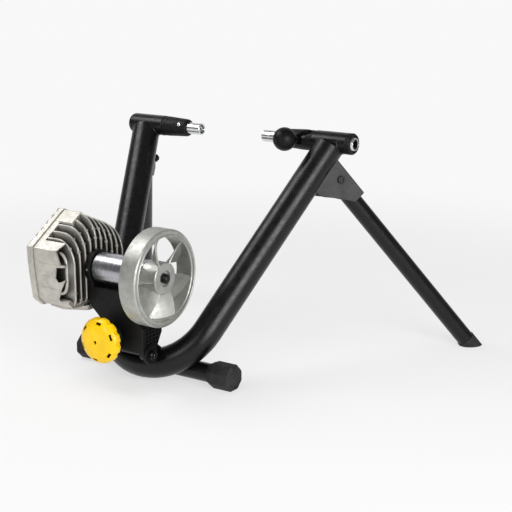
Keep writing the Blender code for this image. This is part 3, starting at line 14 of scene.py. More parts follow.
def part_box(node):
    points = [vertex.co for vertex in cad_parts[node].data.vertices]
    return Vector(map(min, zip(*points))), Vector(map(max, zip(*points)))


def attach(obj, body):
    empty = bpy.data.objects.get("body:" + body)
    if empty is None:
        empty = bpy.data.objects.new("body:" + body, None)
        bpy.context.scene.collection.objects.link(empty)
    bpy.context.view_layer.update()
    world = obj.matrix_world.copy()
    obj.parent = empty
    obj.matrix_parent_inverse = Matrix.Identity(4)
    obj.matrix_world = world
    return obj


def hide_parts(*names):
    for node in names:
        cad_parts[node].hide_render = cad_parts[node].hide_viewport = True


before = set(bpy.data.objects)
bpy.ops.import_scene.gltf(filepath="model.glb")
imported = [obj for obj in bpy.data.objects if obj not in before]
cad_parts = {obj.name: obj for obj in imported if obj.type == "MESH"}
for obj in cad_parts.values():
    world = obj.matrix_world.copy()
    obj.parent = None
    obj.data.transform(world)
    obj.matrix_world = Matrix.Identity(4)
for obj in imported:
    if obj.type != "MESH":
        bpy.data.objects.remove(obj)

bl_info = {
    "name": "Fluid Bike Trainer",
    "version": (1, 0, 0),
    "blender": (4, 5, 0),
    "location": "3D View > Sidebar > Trainer",
    "description": "Builds the finished pieces of a folding fluid bike trainer",
    "category": "Add Mesh",
}


def length(name, description, default):
    return FloatProperty(name=name, description=description, default=default, unit="LENGTH",
                         subtype="DISTANCE", precision=4)


def turn(name, description, degrees):
    return FloatProperty(name=name, description=description, default=radians(degrees), unit="ROTATION",
                         subtype="ANGLE")


def count(name, description, default):
    return IntProperty(name=name, description=description, default=default, min=1, subtype="UNSIGNED")


def share(name, description, default):
    return FloatProperty(name=name, description=description, default=default, subtype="FACTOR",
                         min=0.0, max=1.0)


def colour(name, description, default):
    return FloatVectorProperty(name=name, description=description, default=default, subtype="COLOR",
                               size=3, min=0.0, max=1.0)


def power(name, description, default):
    return FloatProperty(name=name, description=description, default=default, unit="POWER")


class StandSizes(bpy.types.PropertyGroup):
    axle_height: length("Axle height", "Height of the wheel's axle line", 0.387)
    axle_y: length("Axle Y", "Place of the axle line along Y", 0.08114)
    tube_radius: length("Tube radius", "Outer radius of the bent tube", 0.0254)
    lean: turn("Lean", "Lean of the U away from upright", 37.55)
    splay: turn("Splay", "Splay of each arm from the middle", 15.14)
    arm_top_x: length("Arm top", "Distance of each arm's top from the middle", 0.2032)
    arm_end_drop: length("Arm end", "Distance of the tube's end under the axle line", 0.010)
    floor_gap: length("Floor gap", "Clearance under the bend", 0.0036)
    weld_radius: length("Weld bead", "Radius of the weld round each arm's top", 0.0017)
    bar_radius: length("Foot bar radius", "Outer radius of the front foot bar", 0.016)
    bar_y: length("Foot bar Y", "Distance of the bar from the axle line", -0.2405)
    bar_half_length: length("Foot bar half length", "Half of the bar's length", 0.160)
    cap_apothem: length("Foot cap size", "Distance from a cap's axis to its flat sides", 0.0215)
    cap_length: length("Foot cap length", "Length of each rubber cap", 0.048)


class ClampSizes(bpy.types.PropertyGroup):
    sleeve_radius: length("Sleeve radius", "Outer radius of the clamp sleeves", 0.0185)
    sleeve_bore: length("Sleeve bore", "Inner radius of the clamp sleeves", 0.0155)
    left_inner: length("Left sleeve start", "Inner end of the left sleeve", 0.158)
    right_inner: length("Right sleeve start", "Inner end of the right sleeve", 0.170)
    outer: length("Sleeve end", "Outer end of both sleeves", 0.238)
    nose_tip: length("Nose tip", "Tip of each nose", 0.1037)
    nose_back: length("Nose back radius", "Radius of the nose at the sleeve", 0.0180)
    nose_front: length("Nose front radius", "Radius of the nose at its tip", 0.0160)
    cup_radius: length("Cup radius", "Outer radius of the axle cups", 0.0105)
    cup_bore: length("Cup bore", "Inner radius of the axle cups", 0.0072)
    left_cup: length("Left cup tip", "Tip of the left cup", 0.0743)
    right_cup: length("Right cup tip", "Tip of the right cup", 0.0625)
    plunger_radius: length("Plunger radius", "Radius of the sliding plunger", 0.0118)
    stem_x: length("Stem place", "Place of the handle's stem along the axle", 0.1425)
    stem_radius: length("Stem radius", "Radius of the handle's stem", 0.0048)
    stem_angle: turn("Stem angle", "Rise of the stem at rest", 7.5)
    stem_reach: length("Stem reach", "Distance of the ball from the axle line", 0.058)
    ball_radius: length("Ball radius", "Radius of the ball handle", 0.0203)
    clamp_turn: turn("Handle turn", "Turn of the handle along its slot", 78.0)
    clamp_travel: length("Clamp travel", "Travel of the cup along its slot", 0.022)


class LegSizes(bpy.types.PropertyGroup):
    foot_x: length("Foot X", "Distance of each foot from the middle", 0.385)
    foot_y: length("Foot Y", "Distance of each foot behind the axle line", 0.204)
    radius: length("Leg radius", "Outer radius of the leg tubes", 0.0155)
    hinge_down: length("Hinge drop", "Place of the hinge down the arm", 0.047)
    hinge_out: length("Hinge reach", "Distance of the hinge from the arm's middle", 0.0435)
    sheet: length("Bracket sheet", "Thickness of the bracket's sheet", 0.0030)
    side_gap: length("Bracket gap", "Room between the leg and its bracket", 0.0005)
    reach: length("Bracket reach", "Length of the bracket past its hinge", 0.049)
    heel_drop: length("Heel drop", "Depth of the bracket along the arm", 0.044)
    foot_length: length("Foot length", "Length of the rubber foot", 0.018)
    foot_wall: length("Foot wall", "Wall of the rubber foot", 0.0013)


class YokeSizes(bpy.types.PropertyGroup):
    pivot_y: length("Pivot Y", "Distance of the pivot from the axle line", -0.310)
    pivot_z: length("Pivot Z", "Height of the pivot", 0.0595)
    half_width: length("Half width", "Half of the yoke's width", 0.042)
    wall: length("Wall", "Wall of the yoke", 0.0055)
    front_y: length("Front", "Front face from the axle line", -0.327)
    waist_z: length("Waist", "Height where the yoke narrows", 0.106)
    waist_back: length("Waist back", "Back of the cheeks at the waist, from the axle line", -0.267)
    shoulder_z: length("Shoulder", "Height of the slanted shoulder", 0.134)
    nose_radius: length("Nose radius", "Rounding of the yoke at its pivot", 0.0145)
    foot_z: length("Front foot", "Height where the yoke's front plate ends", 0.066)
    right_x: length("Right edge", "Right edge of the upper part", 0.0345)
    mount_radius: length("Mount radius", "Radius of the bearing mount", 0.0296)
    mount_left: length("Mount left", "Left face of the bearing mount", -0.0735)
    mount_right: length("Mount right", "Right face of the bearing mount", -0.0625)
    knob_x: length("Knob X", "Place of the clutch knob", -0.0235)
    knob_z: length("Knob Z", "Height of the clutch knob", 0.0845)
    knob_radius: length("Knob radius", "Outer radius of the clutch knob", 0.039)
    knob_depth: length("Knob depth", "Depth of the knob's dome", 0.0195)
    knob_boss_radius: length("Knob boss radius", "Radius of the boss behind the knob", 0.020)
    knob_boss_length: length("Knob boss length", "Length of the boss behind the knob", 0.0205)
    knob_lobes: count("Knob lobes", "Finger lobes round the knob", 12)
    knob_slots: count("Knob slots", "Slots through the knob's dome", 6)
    knob_slot_first: turn("First slot", "Turn of the first slot from +X", -8.0)


class RotorSizes(bpy.types.PropertyGroup):
    line_y: length("Roller Y", "Distance of the roller's axis from the axle line", -0.305)
    line_z: length("Roller Z", "Height of the roller's axis", 0.193)
    roller_radius: length("Roller radius", "Outer radius of the roller", 0.0258)
    flywheel_radius: length("Flywheel radius", "Outer radius of the flywheel", 0.081)
    rim_bore: length("Rim bore", "Inner radius of the flywheel's rim", 0.069)
    hub_radius: length("Hub radius", "Radius of the flywheel's hub", 0.027)
    blades: count("Blades", "Fan blades inside the rim", 6)
    blade_first: turn("First blade", "Angle of the first blade", 27.0)
    blade_sweep: turn("Blade sweep", "Twist of a blade from front to back", 42.0)
    blade_skew: turn("Blade skew", "Turn of a blade from its hub to the rim", 13.0)
    blade_thick: length("Blade thickness", "Thickness of a blade", 0.0032)


class UnitSizes(bpy.types.PropertyGroup):
    seam_x: length("Seam", "Place of the joint between housing and cover", -0.145)
    right_x: length("Right end", "Right end of the fins", -0.0742)
    cover_thick: length("Cover thickness", "Thickness of the outer cover", 0.015)
    cover_round: length("Cover edge", "Rounding of the cover's outer edge", 0.006)
    cover_proud: length("Cover overhang", "Distance that the cover stands proud of the casting", 0.0030)
    wall_x: length("Wall", "Wall at the seam that carries the fins", 0.012)
    band: length("Pad width", "Width of the flat pad on top", 0.039)
    fin_count: count("Fins", "Number of cooling fins", 11)
    fin_first: length("First fin", "Place of the first fin from the axis", -0.063)
    fin_pitch: length("Fin pitch", "Distance between fins", 0.0134)
    fin_thick: length("Fin thickness", "Thickness of a fin", 0.0040)
    fin_foot: length("Fin foot", "Rounding at the bottom of a fin", 0.015)
    shoulder_x: length("Shoulder width", "Width of a fin's rounded shoulder", 0.036)
    shoulder_z: length("Shoulder height", "Height of a fin's rounded shoulder", 0.045)
    base_inset: length("Base inset", "Distance of the base from the fins' ends", 0.006)
    core_end: length("Core end", "Right end of the casting's core", -0.112)
    crease: length("Crease", "Depth of the creases across the front skin", 0.0004)
    skin_inset: length("Skin inset", "Distance of the front skin inside the wall's outline", 0.0003)
    neck_radius: length("Neck radius", "Radius of the neck to the bearing mount", 0.024)
    flange_drop: length("Flange drop", "Distance of the lower web under the axis", 0.0725)
    flange_left_drop: length("Flange left drop", "Distance of the web's left end under the axis", 0.0660)
    flange_thick: length("Flange thickness", "Thickness of the lower web", 0.0085)


class Finishes(bpy.types.PropertyGroup):
    black_paint: colour("Black paint", "Stand, legs and foot bar", (0.0032, 0.0032, 0.0035))
    bracket_paint: colour("Bracket paint", "Leg brackets", (0.042, 0.042, 0.042))
    black_casting: colour("Black casting", "Yoke and noses", (0.0028, 0.0028, 0.0030))
    rubber: colour("Rubber", "Feet and caps", (0.016, 0.016, 0.016))
    bright_zinc: colour("Bright zinc", "Cups, plunger and screws", (0.75, 0.76, 0.77))
    dark_steel: colour("Dark steel", "Bolts and nuts", (0.05, 0.05, 0.052))
    housing: colour("Cast aluminium", "Fluid unit", (0.54, 0.52, 0.475))
    flywheel: colour("Machined aluminium", "Flywheel", (0.415, 0.42, 0.39))
    roller: colour("Roller steel", "Roller", (0.43, 0.43, 0.46))
    knob: colour("Yellow plastic", "Clutch knob", (0.90, 0.56, 0.003))
    floor: colour("Floor", "Floor and backdrop", (0.94, 0.94, 0.94))


class StageSettings(bpy.types.PropertyGroup):
    camera_place: FloatVectorProperty(name="Camera place", description="Where the camera stands",
                                      default=(1.2738, -1.74206, 0.7140), unit="LENGTH",
                                      subtype="TRANSLATION")
    camera_azimuth: turn("Camera azimuth", "Turn of the camera about +Z", 33.98)
    camera_elevation: turn("Camera elevation", "Height angle of the camera", 14.06)
    focal_length: FloatProperty(name="Focal length", description="Lens in millimetres", default=87.03,
                                unit="CAMERA")
    key_power: power("Key light", "Power of the high softbox", 8.5)
    front_power: power("Front light", "Power of the front softbox", 9.0)
    side_power: power("Side light", "Power of the right softbox", 42.0)
    sky: share("Sky", "Strength of the surrounding light", 0.45)
    room: share("Room", "Strength of the dark room that polished surfaces show", 0.2)
    paper: share("Paper", "Share of the floor that is seen evenly white near the object", 0.62)
    paper_reach: length("Paper reach", "Distance at which the floor has become all white", 1.9)


GROUPS = {"trainer_stand": StandSizes, "trainer_clamp": ClampSizes, "trainer_legs": LegSizes,
          "trainer_yoke": YokeSizes, "trainer_rotor": RotorSizes, "trainer_unit": UnitSizes,
          "trainer_finish": Finishes, "trainer_stage": StageSettings}

# Room between pieces that sit together, and between pieces that slide or turn in each other
GAP = 0.0003
RUN_GAP = 0.0006

# Sides of large, middling and small round pieces
FINE = 96
MEDIUM = 48
SMALL = 32

# Points nearer than this are one point, and the part of its volume that a solid may be out by
NEAR = 1e-6
VOLUME_SLACK = 0.002

# Edges flatter than this many degrees are shaded smooth
SMOOTH_TO = 32.0

# A nose's length in its sleeve and the depth of its lip
NOSE_SHANK = 0.030
NOSE_LIP = 0.006

# Radii of the holes for the pivot bolt and the rotor shaft, and the size of both nuts
BOLT_BORE = 0.0053
SHAFT_BORE = 0.0063
NUT_FLATS = 0.015

# Reach and depth of the painted shade between the fins
FIN_SHADE_REACH = 0.030
FIN_SHADE = 0.05

# How far cutters run past what they cut
PAST = 0.01


def settings(group):
    return getattr(bpy.context.scene, "trainer_" + group)


# Surfaces

def surface(name, base, roughness, metallic):
    """A new material with its shader and the point that its patterns are worked out from."""
    material = bpy.data.materials.new(name)
    material.use_nodes = True
    nodes = material.node_tree.nodes
    shader = nodes["Principled BSDF"]
    shader.inputs["Base Color"].default_value = (*base, 1.0)
    shader.inputs["Roughness"].default_value = roughness
    shader.inputs["Metallic"].default_value = metallic
    point = nodes.new("ShaderNodeTexCoord").outputs["Object"]
    return material, nodes, material.node_tree.links, shader, point


def noise(nodes, links, point, scale, detail=3.0, stretch=None, roughness=0.5):
    """Fractal noise at a scale, stretched along the object's axes where asked."""
    texture = nodes.new("ShaderNodeTexNoise")
    texture.inputs["Scale"].default_value = scale
    texture.inputs["Detail"].default_value = detail
    texture.inputs["Roughness"].default_value = roughness
    if stretch is not None:
        mapping = nodes.new("ShaderNodeMapping")
        mapping.inputs["Scale"].default_value = stretch
        links.new(point, mapping.inputs["Vector"])
        point = mapping.outputs["Vector"]
    links.new(point, texture.inputs["Vector"])
    return texture.outputs["Fac"]


def ramp(nodes, links, source, low, high, start=0.35, end=0.65):
    """Map a pattern's value onto a range."""
    spread = nodes.new("ShaderNodeMapRange")
    spread.inputs["From Min"].default_value = start
    spread.inputs["From Max"].default_value = end
    spread.inputs["To Min"].default_value = low
    spread.inputs["To Max"].default_value = high
    links.new(source, spread.inputs["Value"])
    return spread.outputs["Result"]


def tint(nodes, links, shader, source, base, low, high):
    """Vary the base colour between two brightnesses of itself."""
    mix = nodes.new("ShaderNodeMix")
    mix.data_type = "RGBA"
    mix.inputs["A"].default_value = (*[channel * low for channel in base], 1.0)
    mix.inputs["B"].default_value = (*[min(channel * high, 1.0) for channel in base], 1.0)
    links.new(ramp(nodes, links, source, 0.0, 1.0), mix.inputs["Factor"])
    links.new(mix.outputs["Result"], shader.inputs["Base Color"])


def relief(nodes, links, shader, source, depth):
    bump = nodes.new("ShaderNodeBump")
    bump.inputs["Distance"].default_value = depth
    links.new(source, bump.inputs["Height"])
    links.new(bump.outputs["Normal"], shader.inputs["Normal"])


def arithmetic(nodes, links, operation, one, two):
    """The product or the larger of two values."""
    step = nodes.new("ShaderNodeMath")
    step.operation = operation
    links.new(one, step.inputs[0])
    links.new(two, step.inputs[1])
    return step.outputs["Value"]


def powder_coat(name, base, roughness, gloss, grain=1400.0):
    """Baked powder coat: an even colour, a fine pebbled skin and patches of duller film."""
    material, nodes, links, shader, point = surface(name, base, roughness, 0.0)
    shader.inputs["Specular IOR Level"].default_value = gloss
    tint(nodes, links, shader, noise(nodes, links, point, 38.0), base, 0.85, 1.22)
    rough = noise(nodes, links, point, 90.0, 4.0)
    links.new(ramp(nodes, links, rough, roughness - 0.05, roughness + 0.07), shader.inputs["Roughness"])
    relief(nodes, links, shader, noise(nodes, links, point, grain, 2.0), 0.00006)
    return material


def casting(name, base, roughness, metallic, grain, depth):
    """Sand-cast metal: mottled, with a coarse skin over a fine one."""
    material, nodes, links, shader, point = surface(name, base, roughness, metallic)
    shader.inputs["Specular IOR Level"].default_value = 0.25
    tint(nodes, links, shader, noise(nodes, links, point, 55.0, 5.0, None, 0.6), base, 0.87, 1.12)
    rough = noise(nodes, links, point, 160.0, 4.0)
    links.new(ramp(nodes, links, rough, roughness - 0.07, roughness + 0.09), shader.inputs["Roughness"])
    relief(nodes, links, shader, noise(nodes, links, point, grain, 4.0, None, 0.65), depth)
    return material


def casting_with_painted_shade(name, base, roughness, metallic, grain, depth):
    """Sand-cast metal with painted shade: ambient occlusion darkens its colour where its surface lies deep
    between others.
    """
    material = casting(name, base, roughness, metallic, grain, depth)
    nodes = material.node_tree.nodes
    links = material.node_tree.links
    colour_in = nodes["Principled BSDF"].inputs["Base Color"]
    # Painted shade: ambient occlusion darkens the base colour in the gaps between the fins
    hollow = nodes.new("ShaderNodeAmbientOcclusion")
    hollow.samples = 8
    hollow.only_local = True
    hollow.inputs["Distance"].default_value = FIN_SHADE_REACH
    mix = nodes.new("ShaderNodeMix")
    mix.data_type = "RGBA"
    mix.blend_type = "MULTIPLY"
    mix.inputs["Factor"].default_value = 1.0
    links.new(colour_in.links[0].from_socket, mix.inputs["A"])
    links.new(ramp(nodes, links, hollow.outputs["AO"], FIN_SHADE, 1.0, 0.22, 0.86), mix.inputs["B"])
    links.new(mix.outputs["Result"], colour_in)
    return material


def lathed(name, base, roughness):
    """Metal turned about X: fine rings along the axis and faint lengthwise smears."""
    material, nodes, links, shader, point = surface(name, base, roughness, 1.0)
    rings = noise(nodes, links, point, 1.0, 3.0, (2600.0, 6.0, 6.0), 0.6)
    smears = noise(nodes, links, point, 1.0, 3.0, (5.0, 60.0, 60.0))
    tint(nodes, links, shader, smears, base, 0.93, 1.05)
    links.new(ramp(nodes, links, rings, roughness - 0.05, roughness + 0.09), shader.inputs["Roughness"])
    relief(nodes, links, shader, rings, 0.000006)
    return material


def moulded_rubber(name, base):
    """Matt moulded rubber with a fine grain."""
    material, nodes, links, shader, point = surface(name, base, 0.72, 0.0)
    shader.inputs["Specular IOR Level"].default_value = 0.35
    tint(nodes, links, shader, noise(nodes, links, point, 70.0, 4.0), base, 0.8, 1.5)
    relief(nodes, links, shader, noise(nodes, links, point, 1100.0, 3.0), 0.0001)
    return material


def moulded_plastic(name, base):
    """Glossy moulded plastic with slight flow clouds and handling marks."""
    material, nodes, links, shader, point = surface(name, base, 0.24, 0.0)
    shader.inputs["Specular IOR Level"].default_value = 0.35
    tint(nodes, links, shader, noise(nodes, links, point, 30.0, 3.0), base, 0.92, 1.06)
    rough = noise(nodes, links, point, 220.0, 5.0)
    links.new(ramp(nodes, links, rough, 0.18, 0.34), shader.inputs["Roughness"])
    relief(nodes, links, shader, noise(nodes, links, point, 260.0, 2.0), 0.00004)
    return material


def plated(name, base, roughness):
    """Bright plated steel, drawn lengthwise."""
    material, nodes, links, shader, point = surface(name, base, roughness, 1.0)
    streaks = noise(nodes, links, point, 1.0, 3.0, (6.0, 700.0, 700.0))
    tint(nodes, links, shader, streaks, base, 0.90, 1.06)
    links.new(ramp(nodes, links, streaks, roughness - 0.04, roughness + 0.06), shader.inputs["Roughness"])
    relief(nodes, links, shader, streaks, 0.000004)
    return material


# How each finish is made: its maker, its colour's name and the maker's other values
FINISHES = {
    "black_paint": (powder_coat, "black_paint", 0.30, 0.32),
    "bracket_paint": (powder_coat, "bracket_paint", 0.5, 0.30),
    "black_casting": (casting, "black_casting", 0.5, 0.0, 700.0, 0.0001),
    "ball_plastic": (powder_coat, "black_casting", 0.42, 0.20, 800.0),
    "rubber": (moulded_rubber, "rubber"),
    "bright_zinc": (plated, "bright_zinc", 0.2),
    "dark_steel": (plated, "dark_steel", 0.4),
    "cast_aluminium": (casting_with_painted_shade, "housing", 0.46, 0.75, 800.0, 0.00010),
    "machined_aluminium": (casting, "flywheel", 0.44, 0.75, 1100.0, 0.00004),
    "roller_steel": (lathed, "roller", 0.24),
    "yellow_plastic": (moulded_plastic, "knob"),
}
MATERIALS = {}


def finish_named(slot):
    """The material of a record slot or of one of this object's own finer finishes."""
    if slot not in MATERIALS:
        maker, base, *values = FINISHES[slot]
        MATERIALS[slot] = maker(slot, getattr(settings("finish"), base), *values)
    return MATERIALS[slot]


# Making pieces

def mesh_to_edit(mesh):
    bm = bmesh.new()
    bm.from_mesh(mesh)
    return bm


def write_back(bm, mesh):
    bm.to_mesh(mesh)
    bm.free()


def piece_from(name, bm, place=None):
    """A new object at the origin, with its place in its mesh."""
    if place is not None:
        bmesh.ops.transform(bm, matrix=place, verts=bm.verts[:])
    mesh = bpy.data.meshes.new(name)
    write_back(bm, mesh)
    thing = bpy.data.objects.new(name, mesh)
    bpy.context.scene.collection.objects.link(thing)
    return thing


def evaluated_mesh(thing):
    depsgraph = bpy.context.evaluated_depsgraph_get()
    return bpy.data.meshes.new_from_object(thing.evaluated_get(depsgraph))


def apply_modifiers(thing):
    bpy.context.view_layer.update()
    mesh = evaluated_mesh(thing)
    old = thing.data
    thing.modifiers.clear()
    thing.data = mesh
    bpy.data.meshes.remove(old)
    return thing


def discard(thing):
    data = thing.data
    bpy.data.objects.remove(thing)
    if isinstance(data, bpy.types.Mesh):
        bpy.data.meshes.remove(data)
    else:
        bpy.data.curves.remove(data)


def only(kind, items):
    return [item for item in items if isinstance(item, kind)]


def extend(bm, face):
    """Extrude one end face; the face left inside goes, apart from the first, which closes the other end."""
    first = all(len(edge.link_faces) == 1 for edge in face.edges)
    moved = bmesh.ops.extrude_face_region(bm, geom=[face])["geom"]
    if face.is_valid and not first:
        bmesh.ops.delete(bm, geom=[face], context="FACES_ONLY")
    return only(bmesh.types.BMVert, moved), only(bmesh.types.BMFace, moved)[0]


def extrude_line(bm, edges):
    """Extrude a row of edges, for its new points and its new row."""
    moved = bmesh.ops.extrude_edge_only(bm, edges=edges)["geom"]
    verts = only(bmesh.types.BMVert, moved)
    row = [edge for edge in only(bmesh.types.BMEdge, moved) if all(vert in verts for vert in edge.verts)]
    return verts, row


def volume(mesh):
    bm = mesh_to_edit(mesh)
    whole = abs(bm.calc_volume(signed=True))
    bm.free()
    return whole


def combine(target, tool, operation):
    """Join, cut or intersect two solids, with another solver where the volume comes out wrong."""
    before, other = volume(target.data), volume(tool.data)
    low, high = {"DIFFERENCE": (before - other, before), "UNION": (max(before, other), before + other),
                 "INTERSECT": (0.0, min(before, other))}[operation]
    slack = VOLUME_SLACK * before
    start = target.data.copy()
    for solver in ("MANIFOLD", "EXACT"):
        modifier = target.modifiers.new("combine", "BOOLEAN")
        modifier.operation = operation
        modifier.solver = solver
        modifier.object = tool
        apply_modifiers(target)
        if low - slack <= volume(target.data) <= high + slack:
            break
        if solver == "EXACT":
            raise RuntimeError(target.name + " and " + tool.name + " don't combine")
        target.data = start.copy()
    bpy.data.meshes.remove(start)
    discard(tool)
    bm = mesh_to_edit(target.data)
    bmesh.ops.remove_doubles(bm, verts=bm.verts[:], dist=2 * NEAR)
    bmesh.ops.dissolve_degenerate(bm, edges=bm.edges[:], dist=2 * NEAR)
    write_back(bm, target.data)
    return target


def cut(target, *tools):
    for tool in tools:
        combine(target, tool, "DIFFERENCE")
    return target


def join(target, *tools):
    for tool in tools:
        combine(target, tool, "UNION")
    return target


def soften(thing, width, segments=3, sharp=35.0):
    """Round every edge that is sharper than an angle."""
    modifier = thing.modifiers.new("soften", "BEVEL")
    modifier.width = width
    modifier.segments = segments
    modifier.limit_method = "ANGLE"
    modifier.angle_limit = radians(sharp)
    modifier.miter_outer = "MITER_ARC"
    modifier.use_clamp_overlap = True
    return apply_modifiers(thing)


def finish(thing, body, slot, nodes=(), own=None):
    """Shade a piece, dress it, ride it on its body and hide the nodes that it stands for."""
    thing.data.materials.clear()
    thing.data.materials.append(finish_named(own or slot))
    thing.data.shade_smooth()
    thing.data.set_sharp_from_angle(angle=radians(SMOOTH_TO))
    weighted = thing.modifiers.new("normals", "WEIGHTED_NORMAL")
    weighted.keep_sharp = True
    if nodes:
        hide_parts(*nodes)
    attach(thing, body)


def basis(origin, along, across):
    """A placement whose X runs along and whose Y leans towards across."""
    x_axis = along.normalized()
    z_axis = x_axis.cross(across).normalized()
    y_axis = z_axis.cross(x_axis)
    turned_by = Matrix((x_axis, y_axis, z_axis)).transposed().to_4x4()
    return Matrix.Translation(origin) @ turned_by


def turned(name, profile, place, sides=FINE, phase=0.0):
    """A piece spun about its own X from (x, radius) points."""
    bm = bmesh.new()
    points = [bm.verts.new((x, 0.0, radius)) for x, radius in profile]
    pairs = list(zip(points, points[1:]))
    if profile[0][1] > 0.0 and profile[-1][1] > 0.0:
        pairs.append((points[-1], points[0]))
    for one, two in pairs:
        bm.edges.new((one, two))
    bmesh.ops.rotate(bm, verts=bm.verts[:], cent=(0, 0, 0), matrix=Matrix.Rotation(phase, 3, "X"))
    bmesh.ops.spin(bm, geom=bm.verts[:] + bm.edges[:], cent=(0, 0, 0), axis=(1, 0, 0),
                   dvec=(0, 0, 0), angle=2 * pi, steps=sides, use_merge=True)
    bmesh.ops.remove_doubles(bm, verts=bm.verts[:], dist=NEAR)
    bmesh.ops.recalc_face_normals(bm, faces=bm.faces[:])
    return piece_from(name, bm, place)


def rod(name, start, end, radius, place, sides=FINE):
    return turned(name, [(start, 0.0), (start, radius), (end, radius), (end, 0.0)], place, sides)


def ring(name, start, end, radius, bore, place, sides=FINE):
    return turned(name, [(start, bore), (start, radius), (end, radius), (end, bore)], place, sides)


def hexagon(name, start, end, flats, place):
    return rod(name, start, end, flats / sqrt(3.0), place, 6)


def chamfered_nut(name, start, end, flats, cone, bore, place, sides=MEDIUM):
    """A hexagon nut with its corners turned down to a cone, bored for its thread."""
    nut = hexagon(name, start, end, flats, place)
    combine(nut, turned("cone", cone, place), "INTERSECT")
    return cut(nut, rod("thread", start - PAST, end + PAST, bore, place, sides))


def end_nut(name, start, end, bore, place):
    """A large nut whose far end is chamfered."""
    cone = [(start - 0.001, 0.0), (start - 0.001, 0.0092), (end - 0.0016, 0.0092), (end + 0.001, 0.0066),
            (end + 0.001, 0.0)]
    return chamfered_nut(name, start, end, NUT_FLATS, cone, bore, place)


def extruded(name, outline, depth_from, depth_to, place):
    """A flat outline in the piece's own X and Y, extruded along its Z."""
    bm = bmesh.new()
    raised, _ = extend(bm, bm.faces.new([bm.verts.new((x, y, depth_from)) for x, y in outline]))
    bmesh.ops.translate(bm, verts=raised, vec=(0, 0, depth_to - depth_from))
    bmesh.ops.recalc_face_normals(bm, faces=bm.faces[:])
    return piece_from(name, bm, place)


def block(name, low, high, place=None):
    bm = bmesh.new()
    size = [high[axis] - low[axis] for axis in range(3)]
    middle = [(high[axis] + low[axis]) / 2 for axis in range(3)]
    bmesh.ops.create_cube(bm, size=1.0)
    bmesh.ops.scale(bm, verts=bm.verts[:], vec=size)
    bmesh.ops.translate(bm, verts=bm.verts[:], vec=middle)
    return piece_from(name, bm, place)


def arc(centre, radius, start, end, steps, rise=None):
    """Points of an arc, with angles in degrees from the first axis; a rise makes it an ellipse."""
    angles = [radians(start + (end - start) * index / steps) for index in range(steps + 1)]
    rise = radius if rise is None else rise
    return [(centre[0] + radius * cos(angle), centre[1] + rise * sin(angle)) for angle in angles]


def bead(name, points, radius):
    """A round bead along a closed line of points."""
    curve = bpy.data.curves.new(name, "CURVE")
    curve.dimensions = "3D"
    curve.bevel_depth = radius
    curve.bevel_resolution = 5
    spline = curve.splines.new("POLY")
    spline.points.add(len(points) - 1)
    for index, point in enumerate(points):
        spline.points[index].co = (*point, 1.0)
    spline.use_cyclic_u = True
    source = bpy.data.objects.new(name, curve)
    bpy.context.scene.collection.objects.link(source)
    bpy.context.view_layer.update()
    mesh = evaluated_mesh(source)
    discard(source)
    bm = mesh_to_edit(mesh)
    bpy.data.meshes.remove(mesh)
    bmesh.ops.remove_doubles(bm, verts=bm.verts[:], dist=NEAR / 10)
    bmesh.ops.recalc_face_normals(bm, faces=bm.faces[:])
    return piece_from(name, bm)


# Places

# Turns for outlines drawn in (y, z) and extruded along X, and drawn in (x, z) and extruded towards -Y
FROM_SIDE = Matrix(((0, 0, 1), (1, 0, 0), (0, 1, 0))).to_4x4()
FROM_FRONT = Matrix(((1, 0, 0), (0, 0, -1), (0, 1, 0))).to_4x4()


def at(x, y, z):
    """A point given from the axle line, whose Y is zero there."""
    return Vector((x, y + settings("stand").axle_y, z))


def place_at(x, y, z):
    """A placement at a point given from the axle line."""
    return Matrix.Translation(at(x, y, z))


def axle_line(flip=False):
    place = place_at(0.0, 0.0, settings("stand").axle_height)
    return place @ Matrix.Rotation(pi, 4, "Z") if flip else place


def roller_line():
    rotor = settings("rotor")
    return place_at(0.0, rotor.line_y, rotor.line_z)


def pivot_line():
    yoke = settings("yoke")
    return place_at(0.0, yoke.pivot_y, yoke.pivot_z)


def knob_face():
    yoke = settings("yoke")
    return place_at(yoke.knob_x, yoke.front_y, yoke.knob_z) @ Matrix.Rotation(-pi / 2, 4, "Z")


def knob_line():
    return knob_face() @ Matrix.Translation((settings("yoke").knob_boss_length, 0, 0))


def side_view():
    """A placement for outlines given as (y from the axle line, z), extruded along X."""
    return place_at(0.0, 0.0, 0.0) @ FROM_SIDE


def front_view():
    """A placement for outlines given as (x, z), extruded towards -Y from the axle line."""
    return place_at(0.0, 0.0, 0.0) @ FROM_FRONT


def arm_direction(side):
    stand = settings("stand")
    return Vector((side * sin(stand.splay), cos(stand.splay) * sin(stand.lean),
                   cos(stand.splay) * cos(stand.lean)))


def arm_top(side):
    stand = settings("stand")
    return at(side * stand.arm_top_x, 0.0, stand.axle_height)


def bend():
    """Radius of the bend and the point that it turns about."""
    stand = settings("stand")
    top = stand.axle_height / cos(stand.lean)
    low = (stand.tube_radius + stand.floor_gap) / cos(stand.lean)
    radius = (stand.arm_top_x * cos(stand.splay) - (top - low) * sin(stand.splay)) / (1.0 - sin(stand.splay))
    rise = low + radius
    return radius, at(0.0, (rise - top) * sin(stand.lean), rise * cos(stand.lean))


